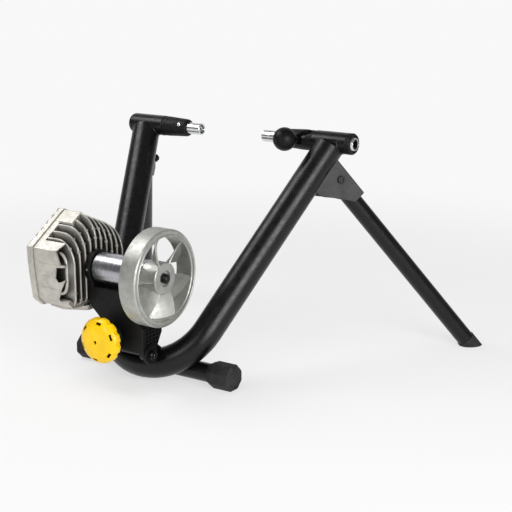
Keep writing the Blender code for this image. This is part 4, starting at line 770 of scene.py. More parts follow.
def u_tube(name, radius, ends, sides):
    """The U of bent tube: a circle run down one arm, spun round the bend and run up the other."""
    stand = settings("stand")
    bend_radius, centre = bend()
    normal = Vector((0.0, -cos(stand.lean), sin(stand.lean)))
    half_turn = pi / 2 - stand.splay
    rise = Vector((0.0, sin(stand.lean), cos(stand.lean)))
    tangent = centre + Vector((-sin(half_turn), 0, 0)) * bend_radius - rise * cos(half_turn) * bend_radius
    mirrored = Vector((-tangent.x, tangent.y, tangent.z))
    top = arm_top(-1) - arm_direction(-1) * ends
    place = basis(top, arm_direction(-1), normal) @ Matrix.Rotation(pi / 2, 4, "Y")
    bm = bmesh.new()
    bmesh.ops.create_circle(bm, segments=sides, radius=radius, matrix=place)
    verts, edges = extrude_line(bm, bm.edges[:])
    bmesh.ops.translate(bm, verts=verts, vec=tangent - top)
    spun = bmesh.ops.spin(bm, geom=verts + edges, cent=centre, axis=normal, dvec=(0, 0, 0),
                          angle=2 * half_turn, steps=72)["geom_last"]
    verts, _ = extrude_line(bm, only(bmesh.types.BMEdge, spun))
    bmesh.ops.translate(bm, verts=verts, vec=arm_top(1) - arm_direction(1) * ends - mirrored)
    bmesh.ops.remove_doubles(bm, verts=bm.verts[:], dist=NEAR)
    bmesh.ops.holes_fill(bm, edges=bm.edges[:], sides=sides)
    bmesh.ops.recalc_face_normals(bm, faces=bm.faces[:])
    return piece_from(name, bm)


def bend_cutter():
    """The U with its clearance, for the pieces that are coped round it."""
    stand = settings("stand")
    return u_tube("cope", stand.tube_radius + GAP, stand.arm_end_drop, 64)


# The stand's tube, its welds and the clamp sleeves

def weld_round_arm(side):
    """Points where the arm's surface meets the sleeve's."""
    stand = settings("stand")
    along = arm_direction(side)
    across = along.cross(Vector((1, 0, 0))).normalized()
    other = along.cross(across)
    points = []
    for index in range(MEDIUM):
        angle = 2 * pi * index / MEDIUM
        start = (across * cos(angle) + other * sin(angle)) * stand.tube_radius
        a = along.y ** 2 + along.z ** 2
        b = start.y * along.y + start.z * along.z
        c = start.y ** 2 + start.z ** 2 - settings("clamp").sleeve_radius ** 2
        root = b * b - a * c
        if root >= 0:
            points.append(arm_top(side) + start - along * (b + sqrt(root)) / a)
    return points


def slot_cutter():
    """The bolt-action slot: a radial wedge turned along a short helix about the axle line."""
    clamp = settings("clamp")
    side_room = 0.0008
    steps = 40
    slope = clamp.clamp_travel / (clamp.clamp_turn * clamp.plunger_radius)
    half = (clamp.stem_radius + side_room) * sqrt(1.0 + slope * slope)
    inner = clamp.plunger_radius * 0.6
    outer = clamp.sleeve_radius * 1.5
    lead_in = asin((clamp.stem_radius + RUN_GAP) / clamp.plunger_radius)
    start = clamp.stem_angle - lead_in
    whole = clamp.clamp_turn + 2 * lead_in
    bm = bmesh.new()
    face = bm.faces.new([bm.verts.new((clamp.stem_x + dx, -reach * cos(start), reach * sin(start)))
                         for dx, reach in ((-half, inner), (half, inner), (half, outer), (-half, outer))])
    for index in range(steps):
        angles = [start + whole * (index + step) / steps for step in (0, 1)]
        shift = [min(max((angle - clamp.stem_angle) / clamp.clamp_turn, 0.0), 1.0) for angle in angles]
        verts, face = extend(bm, face)
        back = Matrix.Rotation(angles[0] - angles[1], 3, "X")
        bmesh.ops.rotate(bm, verts=verts, cent=(0, 0, 0), matrix=back)
        bmesh.ops.translate(bm, verts=verts, vec=(clamp.clamp_travel * (shift[1] - shift[0]), 0, 0))
    bmesh.ops.recalc_face_normals(bm, faces=bm.faces[:])
    return piece_from("slot", bm, axle_line())


def make_frame():
    stand = settings("stand")
    clamp = settings("clamp")
    tube = u_tube("frame_tube", stand.tube_radius, stand.arm_end_drop, 80)
    reach = clamp.outer + 0.02
    cut(tube, rod("cope", -reach, reach, clamp.sleeve_radius + GAP, axle_line()))
    finish(tube, "stand", "black_paint", ["main_frame"])
    for side, name in ((-1, "left"), (1, "right")):
        weld = bead(name + "_weld", weld_round_arm(side), stand.weld_radius)
        finish(weld, "stand", "black_paint")


def make_sleeves():
    clamp = settings("clamp")
    edge = 0.009
    floor = clamp.outer - 0.014
    profile = [(floor, 0.0), (floor, clamp.sleeve_bore), (clamp.left_inner, clamp.sleeve_bore),
               (clamp.left_inner, clamp.sleeve_radius)]
    profile += arc((clamp.outer - edge, clamp.sleeve_radius - edge), edge, 90, 0, 10) + [(clamp.outer, 0.0)]
    left = soften(turned("left_sleeve_tube", profile, axle_line(True)), 0.0005)
    finish(left, "stand", "black_paint", ["left_sleeve"])
    right = ring("right_sleeve_tube", clamp.right_inner, clamp.outer, clamp.sleeve_radius, clamp.sleeve_bore,
                 axle_line())
    cut(soften(right, 0.0005), slot_cutter())
    finish(right, "stand", "black_paint", ["right_sleeve"])


class TRAINER_OT_stand(bpy.types.Operator):
    """Build the bent tube of the stand, its welds and the clamp sleeves"""
    bl_idname = "trainer.stand"
    bl_label = "Stand"

    def execute(self, context):
        make_frame()
        make_sleeves()
        return {"FINISHED"}


# Axle clamps

def nose_profile(sleeve_start):
    """A nose: its shank in the sleeve, a cone, a rounded end and a bore with a lip."""
    clamp = settings("clamp")
    back = sleeve_start - GAP
    front = clamp.nose_tip
    shank = clamp.sleeve_bore - GAP
    bore = clamp.plunger_radius + RUN_GAP
    lip = clamp.cup_radius + RUN_GAP
    cone = 0.044
    rise = NOSE_LIP * 0.6
    return [(back + NOSE_SHANK, bore), (back + NOSE_SHANK, shank), (back, shank), (back, clamp.nose_back),
            (front + cone, clamp.nose_back),
            *arc((front + NOSE_LIP, clamp.nose_front - rise), NOSE_LIP, 90, 180, 9, rise),
            (front, lip), (front + NOSE_LIP, lip), (front + NOSE_LIP, bore)]


def cup_profile(tip, end):
    """An axle cup: a rod with a fine groove, a round lip and a hollow with a small step at its floor."""
    clamp = settings("clamp")
    radius = clamp.cup_radius
    bore = clamp.cup_bore
    wall = (radius - bore) / 2
    floor = tip + 0.014
    groove = tip + 0.015
    step = 0.0010
    return [(end, 0.0), (end, radius), (groove + 0.001, radius), (groove + 0.0005, radius - 0.0003),
            (groove, radius), *arc((tip + wall, bore + wall), wall, 90, 270, 12), (floor, bore),
            (floor + step, bore - step), (tip + 0.018, 0.0)]


def make_left_clamp():
    clamp = settings("clamp")
    nose = soften(turned("left_nose_casting", nose_profile(clamp.left_inner), axle_line(True)), 0.0006)
    low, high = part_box("left_set_screw")
    seat = (low + high) / 2
    line = Vector((seat.x, settings("stand").axle_y, settings("stand").axle_height))
    screw_axis = basis(line, (seat - line).normalized(), Vector((1, 0, 0)))
    screw_radius = 0.0035
    cut(nose, rod("hole", clamp.cup_radius, 0.03, screw_radius + GAP, screw_axis, SMALL))
    finish(nose, "stand", "black_casting", ["left_nose"])
    back = clamp.left_inner + NOSE_SHANK - GAP
    shoulder = clamp.nose_tip + NOSE_LIP + GAP
    profile = [(back, 0.0), (back, clamp.plunger_radius), (shoulder, clamp.plunger_radius),
               (shoulder, clamp.cup_radius)] + cup_profile(clamp.left_cup, back)[2:]
    finish(turned("left_cup_turned", profile, axle_line(True)), "stand", "bright_zinc", ["left_cup"])
    start = clamp.plunger_radius + GAP
    screw = rod("left_set_screw_turned", start, start + 0.0045, screw_radius, screw_axis, SMALL)
    cut(soften(screw, 0.0004), hexagon("key", start + 0.002, 0.03, 0.003, screw_axis))
    finish(screw, "stand", "bright_zinc", ["left_set_screw"])


def make_right_clamp():
    clamp = settings("clamp")
    nose = soften(turned("right_nose_casting", nose_profile(clamp.right_inner), axle_line()), 0.0006)
    cut(nose, slot_cutter())
    finish(nose, "stand", "black_casting", ["right_nose"])
    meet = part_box("right_cup")[1].x
    finish(turned("right_cup_turned", cup_profile(clamp.right_cup, meet), axle_line()), "clamp_cup",
           "bright_zinc", ["right_cup"])
    start, end = (corner.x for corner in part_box("clamp_plunger"))
    radial = Vector((0.0, -cos(clamp.stem_angle), sin(clamp.stem_angle)))
    stem_axis = basis(at(clamp.stem_x, 0.0, settings("stand").axle_height), radial, Vector((1, 0, 0)))
    plunger = turned("clamp_plunger_turned", [
        (start, 0.0), (start, clamp.cup_radius), (start + 0.004, clamp.plunger_radius),
        (end - 0.002, clamp.plunger_radius), (end, 0.0070), (end, 0.0)], axle_line())
    hole = clamp.stem_radius + GAP
    foot = 0.002
    cut(soften(plunger, 0.0004), rod("socket", foot - GAP, 0.03, hole, stem_axis, MEDIUM))
    finish(plunger, "clamp_handle", "bright_zinc", ["clamp_plunger"], "dark_steel")
    stem_end = clamp.stem_reach + 0.002
    stem = soften(rod("clamp_stem_turned", foot, stem_end, clamp.stem_radius, stem_axis, MEDIUM), 0.0005)
    finish(stem, "clamp_handle", "dark_steel", ["clamp_stem"])
    radius = clamp.ball_radius
    collar = clamp.stem_radius * 1.75
    edge = 0.0008
    neck = clamp.stem_reach - radius - 0.004
    first = degrees(atan2(collar, -sqrt(radius ** 2 - collar ** 2)))
    profile = [(stem_end + GAP, 0.0), (stem_end + GAP, hole), (neck, hole), (neck, collar - edge),
               (neck + edge, collar)] + arc((clamp.stem_reach, 0.0), radius, first, 0, 32)
    ball = turned("clamp_ball_moulded", profile, stem_axis, 64)
    finish(ball, "clamp_handle", "black_casting", ["clamp_ball"], "ball_plastic")


def make_right_end():
    """The collar, the bright cone ring and the hexagon plug at the clamp's far end."""
    clamp = settings("clamp")
    low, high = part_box("right_end_ring")
    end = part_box("right_end_cap")[1].x
    start = clamp.outer + GAP
    radius = clamp.sleeve_radius
    spigot = clamp.sleeve_bore - GAP
    bore = 0.0095
    cone_radius = 0.0138
    plug_radius = 0.0089
    seat = cone_radius + GAP
    floor = low.x - GAP
    groove = start + 0.0022
    cap = turned("right_end_collar", [
        (start - 0.012, bore), (start - 0.012, spigot), (start, spigot), (start, radius), (groove, radius),
        (groove + 0.0004, radius - 0.0007), (groove + 0.0008, radius), (end - 0.003, radius),
        (end, radius - 0.002), (end, seat), (floor, seat), (floor, bore)], axle_line())
    finish(soften(cap, 0.0004), "stand", "black_casting", ["right_end_cap"])
    cone = turned("right_end_cone", [(low.x, plug_radius + GAP), (low.x, cone_radius), (high.x, 0.0105),
                                     (high.x, plug_radius + GAP)], axle_line())
    finish(soften(cone, 0.0004), "stand", "bright_zinc", ["right_end_ring"])
    start, end = (corner.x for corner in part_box("right_hex_plug"))
    plug = rod("right_socket_plug", start, end, plug_radius, axle_line())
    cut(plug, hexagon("key", end - 0.0076, end + PAST, 0.0125, axle_line()))
    finish(soften(plug, 0.0003), "stand", "dark_steel", ["right_hex_plug"])


class TRAINER_OT_axle_clamps(bpy.types.Operator):
    """Build the noses, axle cups, the ball handle and the right end"""
    bl_idname = "trainer.axle_clamps"
    bl_label = "Axle clamps"

    def execute(self, context):
        make_left_clamp()
        make_right_clamp()
        make_right_end()
        return {"FINISHED"}


# Folding legs and their brackets

def leg_layout(side):
    """One side's hinge, its foot on the floor, the leg's direction and the bracket's placement."""
    legs = settings("legs")
    up_arm = arm_direction(side)
    on_arm = arm_top(side) - up_arm * legs.hinge_down
    foot = at(side * legs.foot_x, legs.foot_y, 0.0)
    out = foot - on_arm
    out = (out - up_arm * out.dot(up_arm)).normalized()
    hinge = on_arm + out * legs.hinge_out
    return hinge, foot, (foot - hinge).normalized(), basis(hinge, out, up_arm)


def make_bracket(side, name):
    """A pressed channel round the leg's end, coped to the arm, with a round heel and two rivets."""
    legs = settings("legs")
    _, _, along, place = leg_layout(side)
    inner = legs.radius + legs.side_gap
    outer = inner + legs.sheet
    local = place.to_3x3().transposed() @ along
    run = Vector((local.x, local.y))
    up = Vector((-run.y, run.x))
    near = -0.032
    start = (near - up.x * outer) / run.x
    outline = [run * start + up * outer, (near, -legs.heel_drop), (-0.011, -legs.heel_drop),
               (0.0186, -0.0266), run * legs.reach - up * 0.004, run * legs.reach + up * outer]
    body = extruded(name + "_pressing", outline, -outer, outer, place)
    bm = mesh_to_edit(body.data)
    back = place.inverted()
    heel = []
    for edge in bm.edges:
        one, two = (back @ vert.co for vert in edge.verts)
        if abs(one.z - two.z) > outer and max(one.y, two.y) < -0.02:
            heel.append(edge)
    bmesh.ops.bevel(bm, geom=heel, offset=0.006, segments=8, profile=0.5, affect="EDGES",
                    clamp_overlap=True, material=-1)
    write_back(bm, body.data)
    soften(body, 0.0022, 4)
    wide = 0.12
    hollow = [run * -wide + up * inner, run * -wide - up * wide, run * wide - up * wide,
              run * wide + up * inner]
    cut(body, extruded("hollow", hollow, -inner, inner, place))
    arm = basis(arm_top(side), arm_direction(side), Vector((0, 1, 0)))
    cut(body, rod("arm", -0.2, 0.02, settings("stand").tube_radius + GAP, arm))
    for face in (-1, 1):
        spot = place @ Matrix.Translation((0.0166, -0.0153, 0)) @ Matrix.Rotation(-face * pi / 2, 4, "Y")
        join(body, turned("rivet", [(outer - 0.001, 0.0), (outer - 0.001, 0.0027), (outer + 0.0004, 0.0027),
                                    (outer + 0.0009, 0.0020), (outer + 0.0011, 0.0)], spot, SMALL))
    finish(body, "stand", "bracket_paint", [name])


def make_leg(side, name):
    legs = settings("legs")
    hinge, foot, along, _ = leg_layout(side)
    span = (foot - hinge).length
    axis = along.cross(-arm_direction(side)).normalized()
    leg_axis = basis(hinge, along, axis)
    over = 0.03
    tube = rod(name + "_tube_drawn", -legs.radius - 0.0004, span + over, legs.radius, leg_axis)
    shave = block("shave", (-0.05, -0.05, -0.05), (0.0, 0.05, 0.05), leg_axis)
    cut(shave, rod("round", -0.06, 0.06, legs.radius + 0.0002, basis(hinge, axis, along), 64))
    cut(tube, shave, block("floor", (-1.0, -1.0, -0.3), (1.0, 1.0, 0.004)))
    finish(tube, name, "black_paint", [name + "_tube"])
    outer = legs.radius + legs.foot_wall
    start = span - legs.foot_length
    sock = turned(name + "_foot_moulded", [
        (start, 0.0), (start, outer - 0.0010), (start + 0.0003, outer - 0.0004), (start + 0.001, outer),
        (start + 0.0045, outer), (start + 0.0049, outer - 0.0003), (start + 0.0053, outer),
        (span + over, outer), (span + over, 0.0)], leg_axis)
    hole = rod("hole", start - PAST, span + 2 * over, legs.radius + GAP, leg_axis)
    cut(hole, block("below", (-1.0, -1.0, -0.5), (1.0, 1.0, 0.004 - GAP)))
    cut(sock, hole, block("floor", (-1.0, -1.0, -0.3), (1.0, 1.0, 0.0)))
    finish(sock, name, "rubber", [name + "_foot"])
    face = legs.radius + legs.side_gap + legs.sheet + GAP
    nut_end = -face - 0.0065
    shank = 0.0040
    head = 0.0066
    bolt_axis = basis(hinge, axis if axis.x * side > 0 else -axis, along)
    bolt = turned(name + "_bolt_turned", [
        (nut_end - 0.0025, 0.0), (nut_end - 0.0025, shank - 0.0007), (nut_end - 0.0018, shank), (face, shank),
        (face, head), (face + 0.0035, head), (face + 0.0045, head - 0.001), (face + 0.0045, 0.0)],
        bolt_axis, MEDIUM)
    cut(bolt, hexagon("key", face + 0.002, face + 0.02, 0.0066, bolt_axis))
    finish(soften(bolt, 0.0003), "stand", "dark_steel", [name + "_bolt"])
    cone = [(nut_end - 0.001, 0.0), (nut_end - 0.001, 0.0058), (nut_end + 0.0014, 0.0078),
            (-face + 0.001, 0.0078), (-face + 0.001, 0.0)]
    nut = chamfered_nut(name + "_nut_forged", nut_end, -face, 0.013, cone, shank + GAP, bolt_axis, SMALL)
    finish(nut, "stand", "dark_steel", [name + "_nut"])


class TRAINER_OT_legs(bpy.types.Operator):
    """Build both folding legs, their brackets, bolts and rubber feet"""
    bl_idname = "trainer.legs"
    bl_label = "Folding legs"

    def execute(self, context):
        for side, name in ((-1, "left_leg"), (1, "right_leg")):
            make_bracket(side, name + "_bracket")
            make_leg(side, name)
        return {"FINISHED"}


# Front foot bar

def make_foot_bar():
    """The bar, coped round the bend, and its two eight-sided rubber caps."""
    stand = settings("stand")
    centre = place_at(0.0, stand.bar_y, stand.cap_apothem)
    half = stand.bar_half_length
    wall = 0.002
    bar = ring("foot_bar_drawn", -half, half, stand.bar_radius, stand.bar_radius - wall, centre, 80)
    cut(bar, bend_cutter())
    finish(bar, "stand", "black_paint", ["foot_bar"])
    corner = stand.cap_apothem / cos(pi / 8)
    end = half + 0.006
    start = end - stand.cap_length
    edge = 0.0035
    dish = end - 0.0014
    button = end - 0.0004
    outline = [(start, 0.0), (start, 0.0190), (start + 0.010, corner), (end - edge, corner),
               (end, corner - edge), (end, corner * 0.76), (dish, corner * 0.72), (dish, corner * 0.60),
               (button, corner * 0.56), (button, 0.0)]
    for side, name in ((-1, "left_foot_cap"), (1, "right_foot_cap")):
        spot = centre @ Matrix.Rotation(pi, 4, "Z") if side < 0 else centre
        cap = soften(turned(name + "_moulded", outline, spot, 8, pi / 8), 0.0016, 4, 15.0)
        cut(cap, rod("seat", start - PAST, half + GAP, stand.bar_radius + GAP, spot))
        finish(cap, "stand", "rubber", [name])


class TRAINER_OT_foot_bar(bpy.types.Operator):
    """Build the front foot bar and its rubber caps"""
    bl_idname = "trainer.foot_bar"
    bl_label = "Foot bar"

    def execute(self, context):
        make_foot_bar()
        return {"FINISHED"}


# Yoke

def make_lug():
    """The channel welded under the bend that the yoke's pivot bolt goes through."""
    yoke = settings("yoke")
    nose = 0.0108
    top = 0.102
    half = 0.035
    wall = 0.006
    window = 0.0135
    back = yoke.pivot_y + 0.044
    front = yoke.pivot_y - nose + 0.005
    outline = [(back, top - 0.044), (yoke.pivot_y + 0.022, top - 0.026), (yoke.pivot_y + 0.020, top),
               (front + 0.004, top), (front, top - 0.010)]
    outline += arc((yoke.pivot_y, yoke.pivot_z), nose, 180, 270, 14) + [(back, yoke.pivot_z - 0.020)]
    lug = soften(extruded("pivot_lug_welded", outline, -half, half, side_view()), 0.0012)
    inner = half - wall
    cut(lug, block("channel", (-inner, yoke.pivot_y - 0.03, 0.0), (inner, yoke.pivot_y + 0.030, 0.2),
                   place_at(0, 0, 0)))
    cut(lug, bend_cutter(), rod("bolt_hole", -0.1, 0.1, BOLT_BORE, pivot_line(), MEDIUM))
    low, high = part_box("draw_barrel")
    middle = (low + high) / 2
    cut(lug, rod("barrel_window", -0.1, 0.1, window, Matrix.Translation((0.0, middle.y, middle.z))))
    finish(lug, "stand", "black_paint", ["pivot_lug"])


def make_yoke():
    """The hollow casting that carries the roller: its sides, mount, knob boss, holes and mount screw."""
    yoke = settings("yoke")
    rotor = settings("rotor")
    wall = yoke.wall
    beyond = 0.12
    top = rotor.line_z - rotor.roller_radius - 0.003
    back = rotor.line_y + yoke.mount_radius
    low = yoke.pivot_z - yoke.nose_radius
    outline = [(-yoke.half_width, low), (yoke.half_width, low), (yoke.half_width, yoke.waist_z),
               (yoke.right_x, yoke.waist_z + 0.006), (yoke.right_x, top), (yoke.mount_right, top),
               (yoke.mount_right, rotor.line_z), (yoke.mount_left, rotor.line_z),
               (yoke.mount_left, yoke.shoulder_z), (-yoke.half_width, yoke.waist_z)]
    body = extruded("yoke_casting", outline, -back, -yoke.front_y, front_view())
    under = yoke.pivot_z - 0.05
    slope = [(back + PAST, under), (yoke.pivot_y, under), (yoke.pivot_y, low),
             *arc((yoke.pivot_y, yoke.pivot_z), yoke.nose_radius, -90, -20, 12),
             (yoke.waist_back, yoke.waist_z), (back + PAST, yoke.shoulder_z)]
    toe_z = yoke.foot_z + 0.001
    toe = [(yoke.front_y - PAST, low - PAST), (yoke.pivot_y, low - PAST), (yoke.pivot_y, low),
           (yoke.pivot_y - 0.0095, yoke.pivot_z - 0.0100), (yoke.front_y, toe_z),
           (yoke.front_y - PAST, toe_z)]
    for name, side in (("back_slope", slope), ("toe", toe)):
        cut(body, extruded(name, side, -beyond, beyond, side_view()))
    soften(body, 0.0018, 4)
    inner = yoke.half_width - wall
    front = yoke.front_y + wall
    for name, one, two in (
            ("hollow", (-inner, front, 0.0), (inner, 0.0, yoke.waist_z + 0.004)),
            ("open_foot", (-inner, yoke.front_y - PAST, 0.0), (inner, yoke.front_y + PAST, yoke.foot_z)),
            ("upper_hollow", (yoke.mount_left + wall, front, yoke.shoulder_z),
             (yoke.right_x - wall, 0.0, top - wall))):
        cut(body, block(name, one, two, place_at(0, 0, 0)))
    mount = soften(rod("mount", yoke.mount_left, yoke.mount_right, yoke.mount_radius, roller_line()), 0.0012)
    boss_radius = yoke.knob_boss_radius
    boss_end = yoke.knob_boss_length
    boss = turned("knob_boss", [(-0.002, 0.0), (-0.002, boss_radius + 0.002), (0.002, boss_radius + 0.001),
                                (0.005, boss_radius), (boss_end, boss_radius), (boss_end, 0.0)], knob_face())
    join(body, mount, boss)
    bearing_low, bearing_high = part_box("roller_bearing")
    seat = (bearing_high.z - bearing_low.z) / 2 + GAP
    middle = (yoke.mount_left + yoke.mount_right) / 2
    screw_line = place_at(middle, rotor.line_y, rotor.line_z) @ Matrix.Rotation(-pi / 2, 4, "Z")
    screw_radius = 0.0022
    shaft_hole = 0.008
    draw_hole = 0.0048
    cut(body, rod("bearing_seat", bearing_low.x - GAP, 0.0, seat, roller_line()),
        rod("shaft_hole", -0.2, 0.0, shaft_hole, roller_line(), MEDIUM),
        rod("bolt_hole", -0.1, 0.1, BOLT_BORE, pivot_line(), MEDIUM),
        rod("draw_hole", -0.05, 0.02, draw_hole, knob_line(), MEDIUM),
        rod("screw_hole", 0.014, 0.05, screw_radius + GAP, screw_line, SMALL))
    cut_waffle(body)
    finish(body, "swing_yoke", "black_casting", ["yoke"])
    screw = rod("mount_screw_turned", 0.0146, yoke.mount_radius - 0.0004, screw_radius, screw_line, SMALL)
    cut(screw, hexagon("key", yoke.mount_radius - 0.002, 0.04, 0.002, screw_line))
    finish(soften(screw, 0.0003), "swing_yoke", "bright_zinc", ["mount_screw"])


def cut_waffle(body):
    """Shallow pockets that leave a lattice of ribs on both outer cheeks."""
    yoke = settings("yoke")
    rows = 5
    columns = 6
    rib = 0.0024
    depth = 0.0024
    low_z = yoke.pivot_z + yoke.nose_radius + 0.001
    front = yoke.front_y + 0.006
    cell_y = (yoke.waist_back - front) / columns
    cell_z = (yoke.waist_z - 0.0005 - low_z) / rows
    slope = (yoke.waist_back - yoke.pivot_y - yoke.nose_radius) / (yoke.waist_z - yoke.pivot_z)
    for side in (-1, 1):
        face = side * yoke.half_width
        ends = sorted((face - side * depth, face + side * PAST))
        for cell in range(rows * columns):
            y = front + cell_y * (cell % columns) + rib / 2
            z = low_z + cell_z * (cell // columns) + rib / 2
            edge = yoke.waist_back - (yoke.waist_z - z) * slope - rib
            far = min(y + cell_y - rib, edge)
            if far - y >= rib:
                pocket = block("pocket", (ends[0], y, z), (ends[1], far, z + cell_z - rib), place_at(0, 0, 0))
                cut(body, soften(pocket, 0.0005, 2))


def make_pivot():
    """The disc, the nut and the bolt of the yoke's pivot."""
    line = pivot_line()
    low, high = (corner.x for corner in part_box("pivot_disc"))
    disc_radius = 0.0155
    disc = ring("pivot_disc_turned", low, high, disc_radius, BOLT_BORE, line)
    finish(soften(disc, 0.0006), "stand", "black_casting", ["pivot_disc"])
    start, end = (corner.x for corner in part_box("pivot_nut"))
    finish(end_nut("pivot_nut_forged", start, end, BOLT_BORE, line), "stand", "dark_steel", ["pivot_nut"])
    start, end = (corner.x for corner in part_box("pivot_bolt"))
    face = -settings("yoke").half_width - GAP
    head = 0.009
    shank = BOLT_BORE - GAP
    bolt = turned("pivot_bolt_turned", [
        (start, 0.0), (start, head - 0.001), (start + 0.001, head), (face, head), (face, shank),
        (end - 0.0008, shank), (end, shank - 0.0008), (end, 0.0)], line, MEDIUM)
    finish(bolt, "stand", "dark_steel", ["pivot_bolt"])


class TRAINER_OT_yoke(bpy.types.Operator):
    """Build the swinging yoke, the lug that it hangs on and its pivot"""
    bl_idname = "trainer.yoke"
    bl_label = "Yoke"

    def execute(self, context):
        make_lug()
        make_yoke()
        make_pivot()
        return {"FINISHED"}


# Clutch knob

def make_knob():
    """A domed knob, hollow behind, with scallops round its rim and slots through its dome."""
    yoke = settings("yoke")
    line = knob_line()
    base = 0.0036
    rim = 0.004
    bulge = 0.62
    depth = yoke.knob_depth
    radius = yoke.knob_radius
    top = base + depth
    dome = [(base, 0.0), (base, radius)]
    dome += [(base + rim + (depth - rim) * sin(radians(step)), radius * cos(radians(step)) ** bulge)
             for step in range(0, 90, 6)] + [(top, 0.0)]
    knob = turned("clutch_knob_moulded", dome, line)
    skirt = 0.0342
    scallop_radius = 0.0062
    centre_hole = 0.0034
    floor = base + depth * 0.84
    inside = [(base - PAST, 0.0), (base - PAST, skirt), (base + 0.0085, skirt), (base + 0.0125, 0.0318),
              (base + depth * 0.80, 0.0225), (floor, 0.0120), (floor, 0.0)]
    cut(knob, turned("hollow", inside, line))
    for index in range(yoke.knob_lobes):
        spot = line @ Matrix.Rotation(2 * pi * index / yoke.knob_lobes, 4, "X")
        scallop = spot @ Matrix.Translation((0, 0, radius + 0.0042))
        cut(knob, rod("scallop", base - PAST, top + PAST, scallop_radius, scallop, SMALL))
    soften(knob, 0.0008)
    slot_floor = base + 0.0045
    slot_half = 0.0054
    slot_low = 0.0292
    slot_high = 0.0338
    for index in range(yoke.knob_slots):
        angle = yoke.knob_slot_first + 2 * pi * index / yoke.knob_slots
        cut(knob, block("slot", (slot_floor, -slot_half, slot_low), (top + PAST, slot_half, slot_high),
                        line @ Matrix.Rotation(angle, 4, "X")))
    cut(knob, rod("centre_hole", base, top + PAST, centre_hole, line, SMALL))
    finish(knob, "knob", "yellow_plastic", ["clutch_knob"])


class TRAINER_OT_knob(bpy.types.Operator):
    """Build the yellow clutch knob"""
    bl_idname = "trainer.knob"
    bl_label = "Clutch knob"

    def execute(self, context):
        make_knob()
        return {"FINISHED"}


# Roller and flywheel

def make_roller():
    """The roller: a tube with a web at its left end and a bored hub."""
    rotor = settings("rotor")
    left, right = (corner.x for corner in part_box("roller"))
    radius = rotor.roller_radius
    edge = 0.0012
    inside = radius - 0.003
    hub = 0.013
    web = left + 0.006
    profile = [(left, SHAFT_BORE), *arc((left + edge, radius - edge), edge, 180, 90, 4),
               *arc((right - edge, radius - edge), edge, 90, 0, 4), (right, inside), (web, inside),
               (web, hub), (right - 0.001, hub), (right - 0.001, SHAFT_BORE)]
    finish(turned("roller_turned", profile, roller_line(), 128), "rotor", "roller_steel", ["roller"])


def fan_blade(index):
    """One twisted blade: a row of edges swept out from the hub, then thickened."""
    rotor = settings("rotor")
    low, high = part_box("flywheel")
    inset = 0.0025
    root = 0.002
    across = 20
    rows = 8
    front = high.x - inset
    back = low.x + inset
    inner = rotor.hub_radius - root
    outer = rotor.rim_bore + root
    first = rotor.blade_first + 2 * pi * index / rotor.blades
    bm = bmesh.new()
    line = []
    for column in range(across + 1):
        part = column / across
        angle = first + rotor.blade_sweep * part
        line.append(bm.verts.new((front + (back - front) * part, inner * sin(angle), inner * cos(angle))))
    edges = [bm.edges.new(pair) for pair in zip(line, line[1:])]
    skew = Matrix.Rotation(-rotor.blade_skew / rows, 3, "X")
    for row in range(rows):
        grown = (inner + (outer - inner) * (row + 1) / rows) / (inner + (outer - inner) * row / rows)
        verts, edges = extrude_line(bm, edges)
        bmesh.ops.scale(bm, verts=verts, vec=(1.0, grown, grown))
        bmesh.ops.rotate(bm, verts=verts, cent=(0, 0, 0), matrix=skew)
    thing = piece_from("blade", bm, roller_line())
    thick = thing.modifiers.new("thickness", "SOLIDIFY")
    thick.thickness = rotor.blade_thick
    thick.offset = 0.0
    thick.use_even_offset = True
    return soften(apply_modifiers(thing), 0.0006, 2, 50.0)


def make_flywheel():
    """The rim, the hub and the blades between them as one casting, and the nut that holds it."""
    rotor = settings("rotor")
    line = roller_line()
    left, right = (corner.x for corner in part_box("flywheel"))
    radius = rotor.flywheel_radius
    bore = rotor.rim_bore
    edge = 0.0022
    sunk = right - 0.0009
    rim = turned("flywheel_casting", [
        (left, bore + edge), (left, radius - edge), (left + edge, radius), (right - edge, radius),
        (right, radius - edge), (right, radius - 0.0036), (sunk, radius - 0.0042), (sunk, bore + 0.0034),
        (right, bore + 0.0028), (right, bore + 0.0014), (right - 0.0014, bore), (left + edge, bore)],
        line, 160)
    soften(rim, 0.0006, 2, 30.0)
    hub_radius = rotor.hub_radius
    face = right - 0.002
    floor = face - 0.004
    recess = 0.0135
    hub = turned("hub", [(left, SHAFT_BORE), (left, hub_radius - 0.001), (left + 0.001, hub_radius),
                         (face - 0.0015, hub_radius), (face, hub_radius - 0.0015), (face, recess),
                         (floor, recess - 0.001), (floor, SHAFT_BORE)], line)
    soften(hub, 0.0005, 2, 30.0)
    for index in range(rotor.blades):
        join(hub, fan_blade(index))
    join(rim, hub)
    finish(rim, "rotor", "cast_aluminium", ["flywheel"], "machined_aluminium")
    start, end = (corner.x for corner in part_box("flywheel_nut"))
    nut = end_nut("flywheel_nut_forged", start, end, SHAFT_BORE, line)
    finish(nut, "rotor", "bright_zinc", ["flywheel_nut"], "dark_steel")


class TRAINER_OT_rotor(bpy.types.Operator):
    """Build the roller and the fan flywheel"""
    bl_idname = "trainer.rotor"
    bl_label = "Roller and flywheel"

    def execute(self, context):
        make_roller()
        make_flywheel()
        return {"FINISHED"}


# Fluid unit

def unit_outline(inset=0.0):
    """The casting's faceted outline about the roller's axis, as (y, z) corners."""
    corners = [(0.004, 0.087), (-0.044, 0.056), (-0.0735, 0.037), (-0.0725, 0.0136), (-0.0700, -0.0087),
               (-0.0672, -0.0295), (-0.0640, -0.052), (-0.051, -0.064), (0.054, -0.066), (0.070, -0.050),
               (0.080, -0.010), (0.082, 0.024), (0.070, 0.058)]
    shares = [1.0 - inset / sqrt(y * y + z * z) for y, z in corners]
    return [(y * part, z * part) for (y, z), part in zip(corners, shares)]


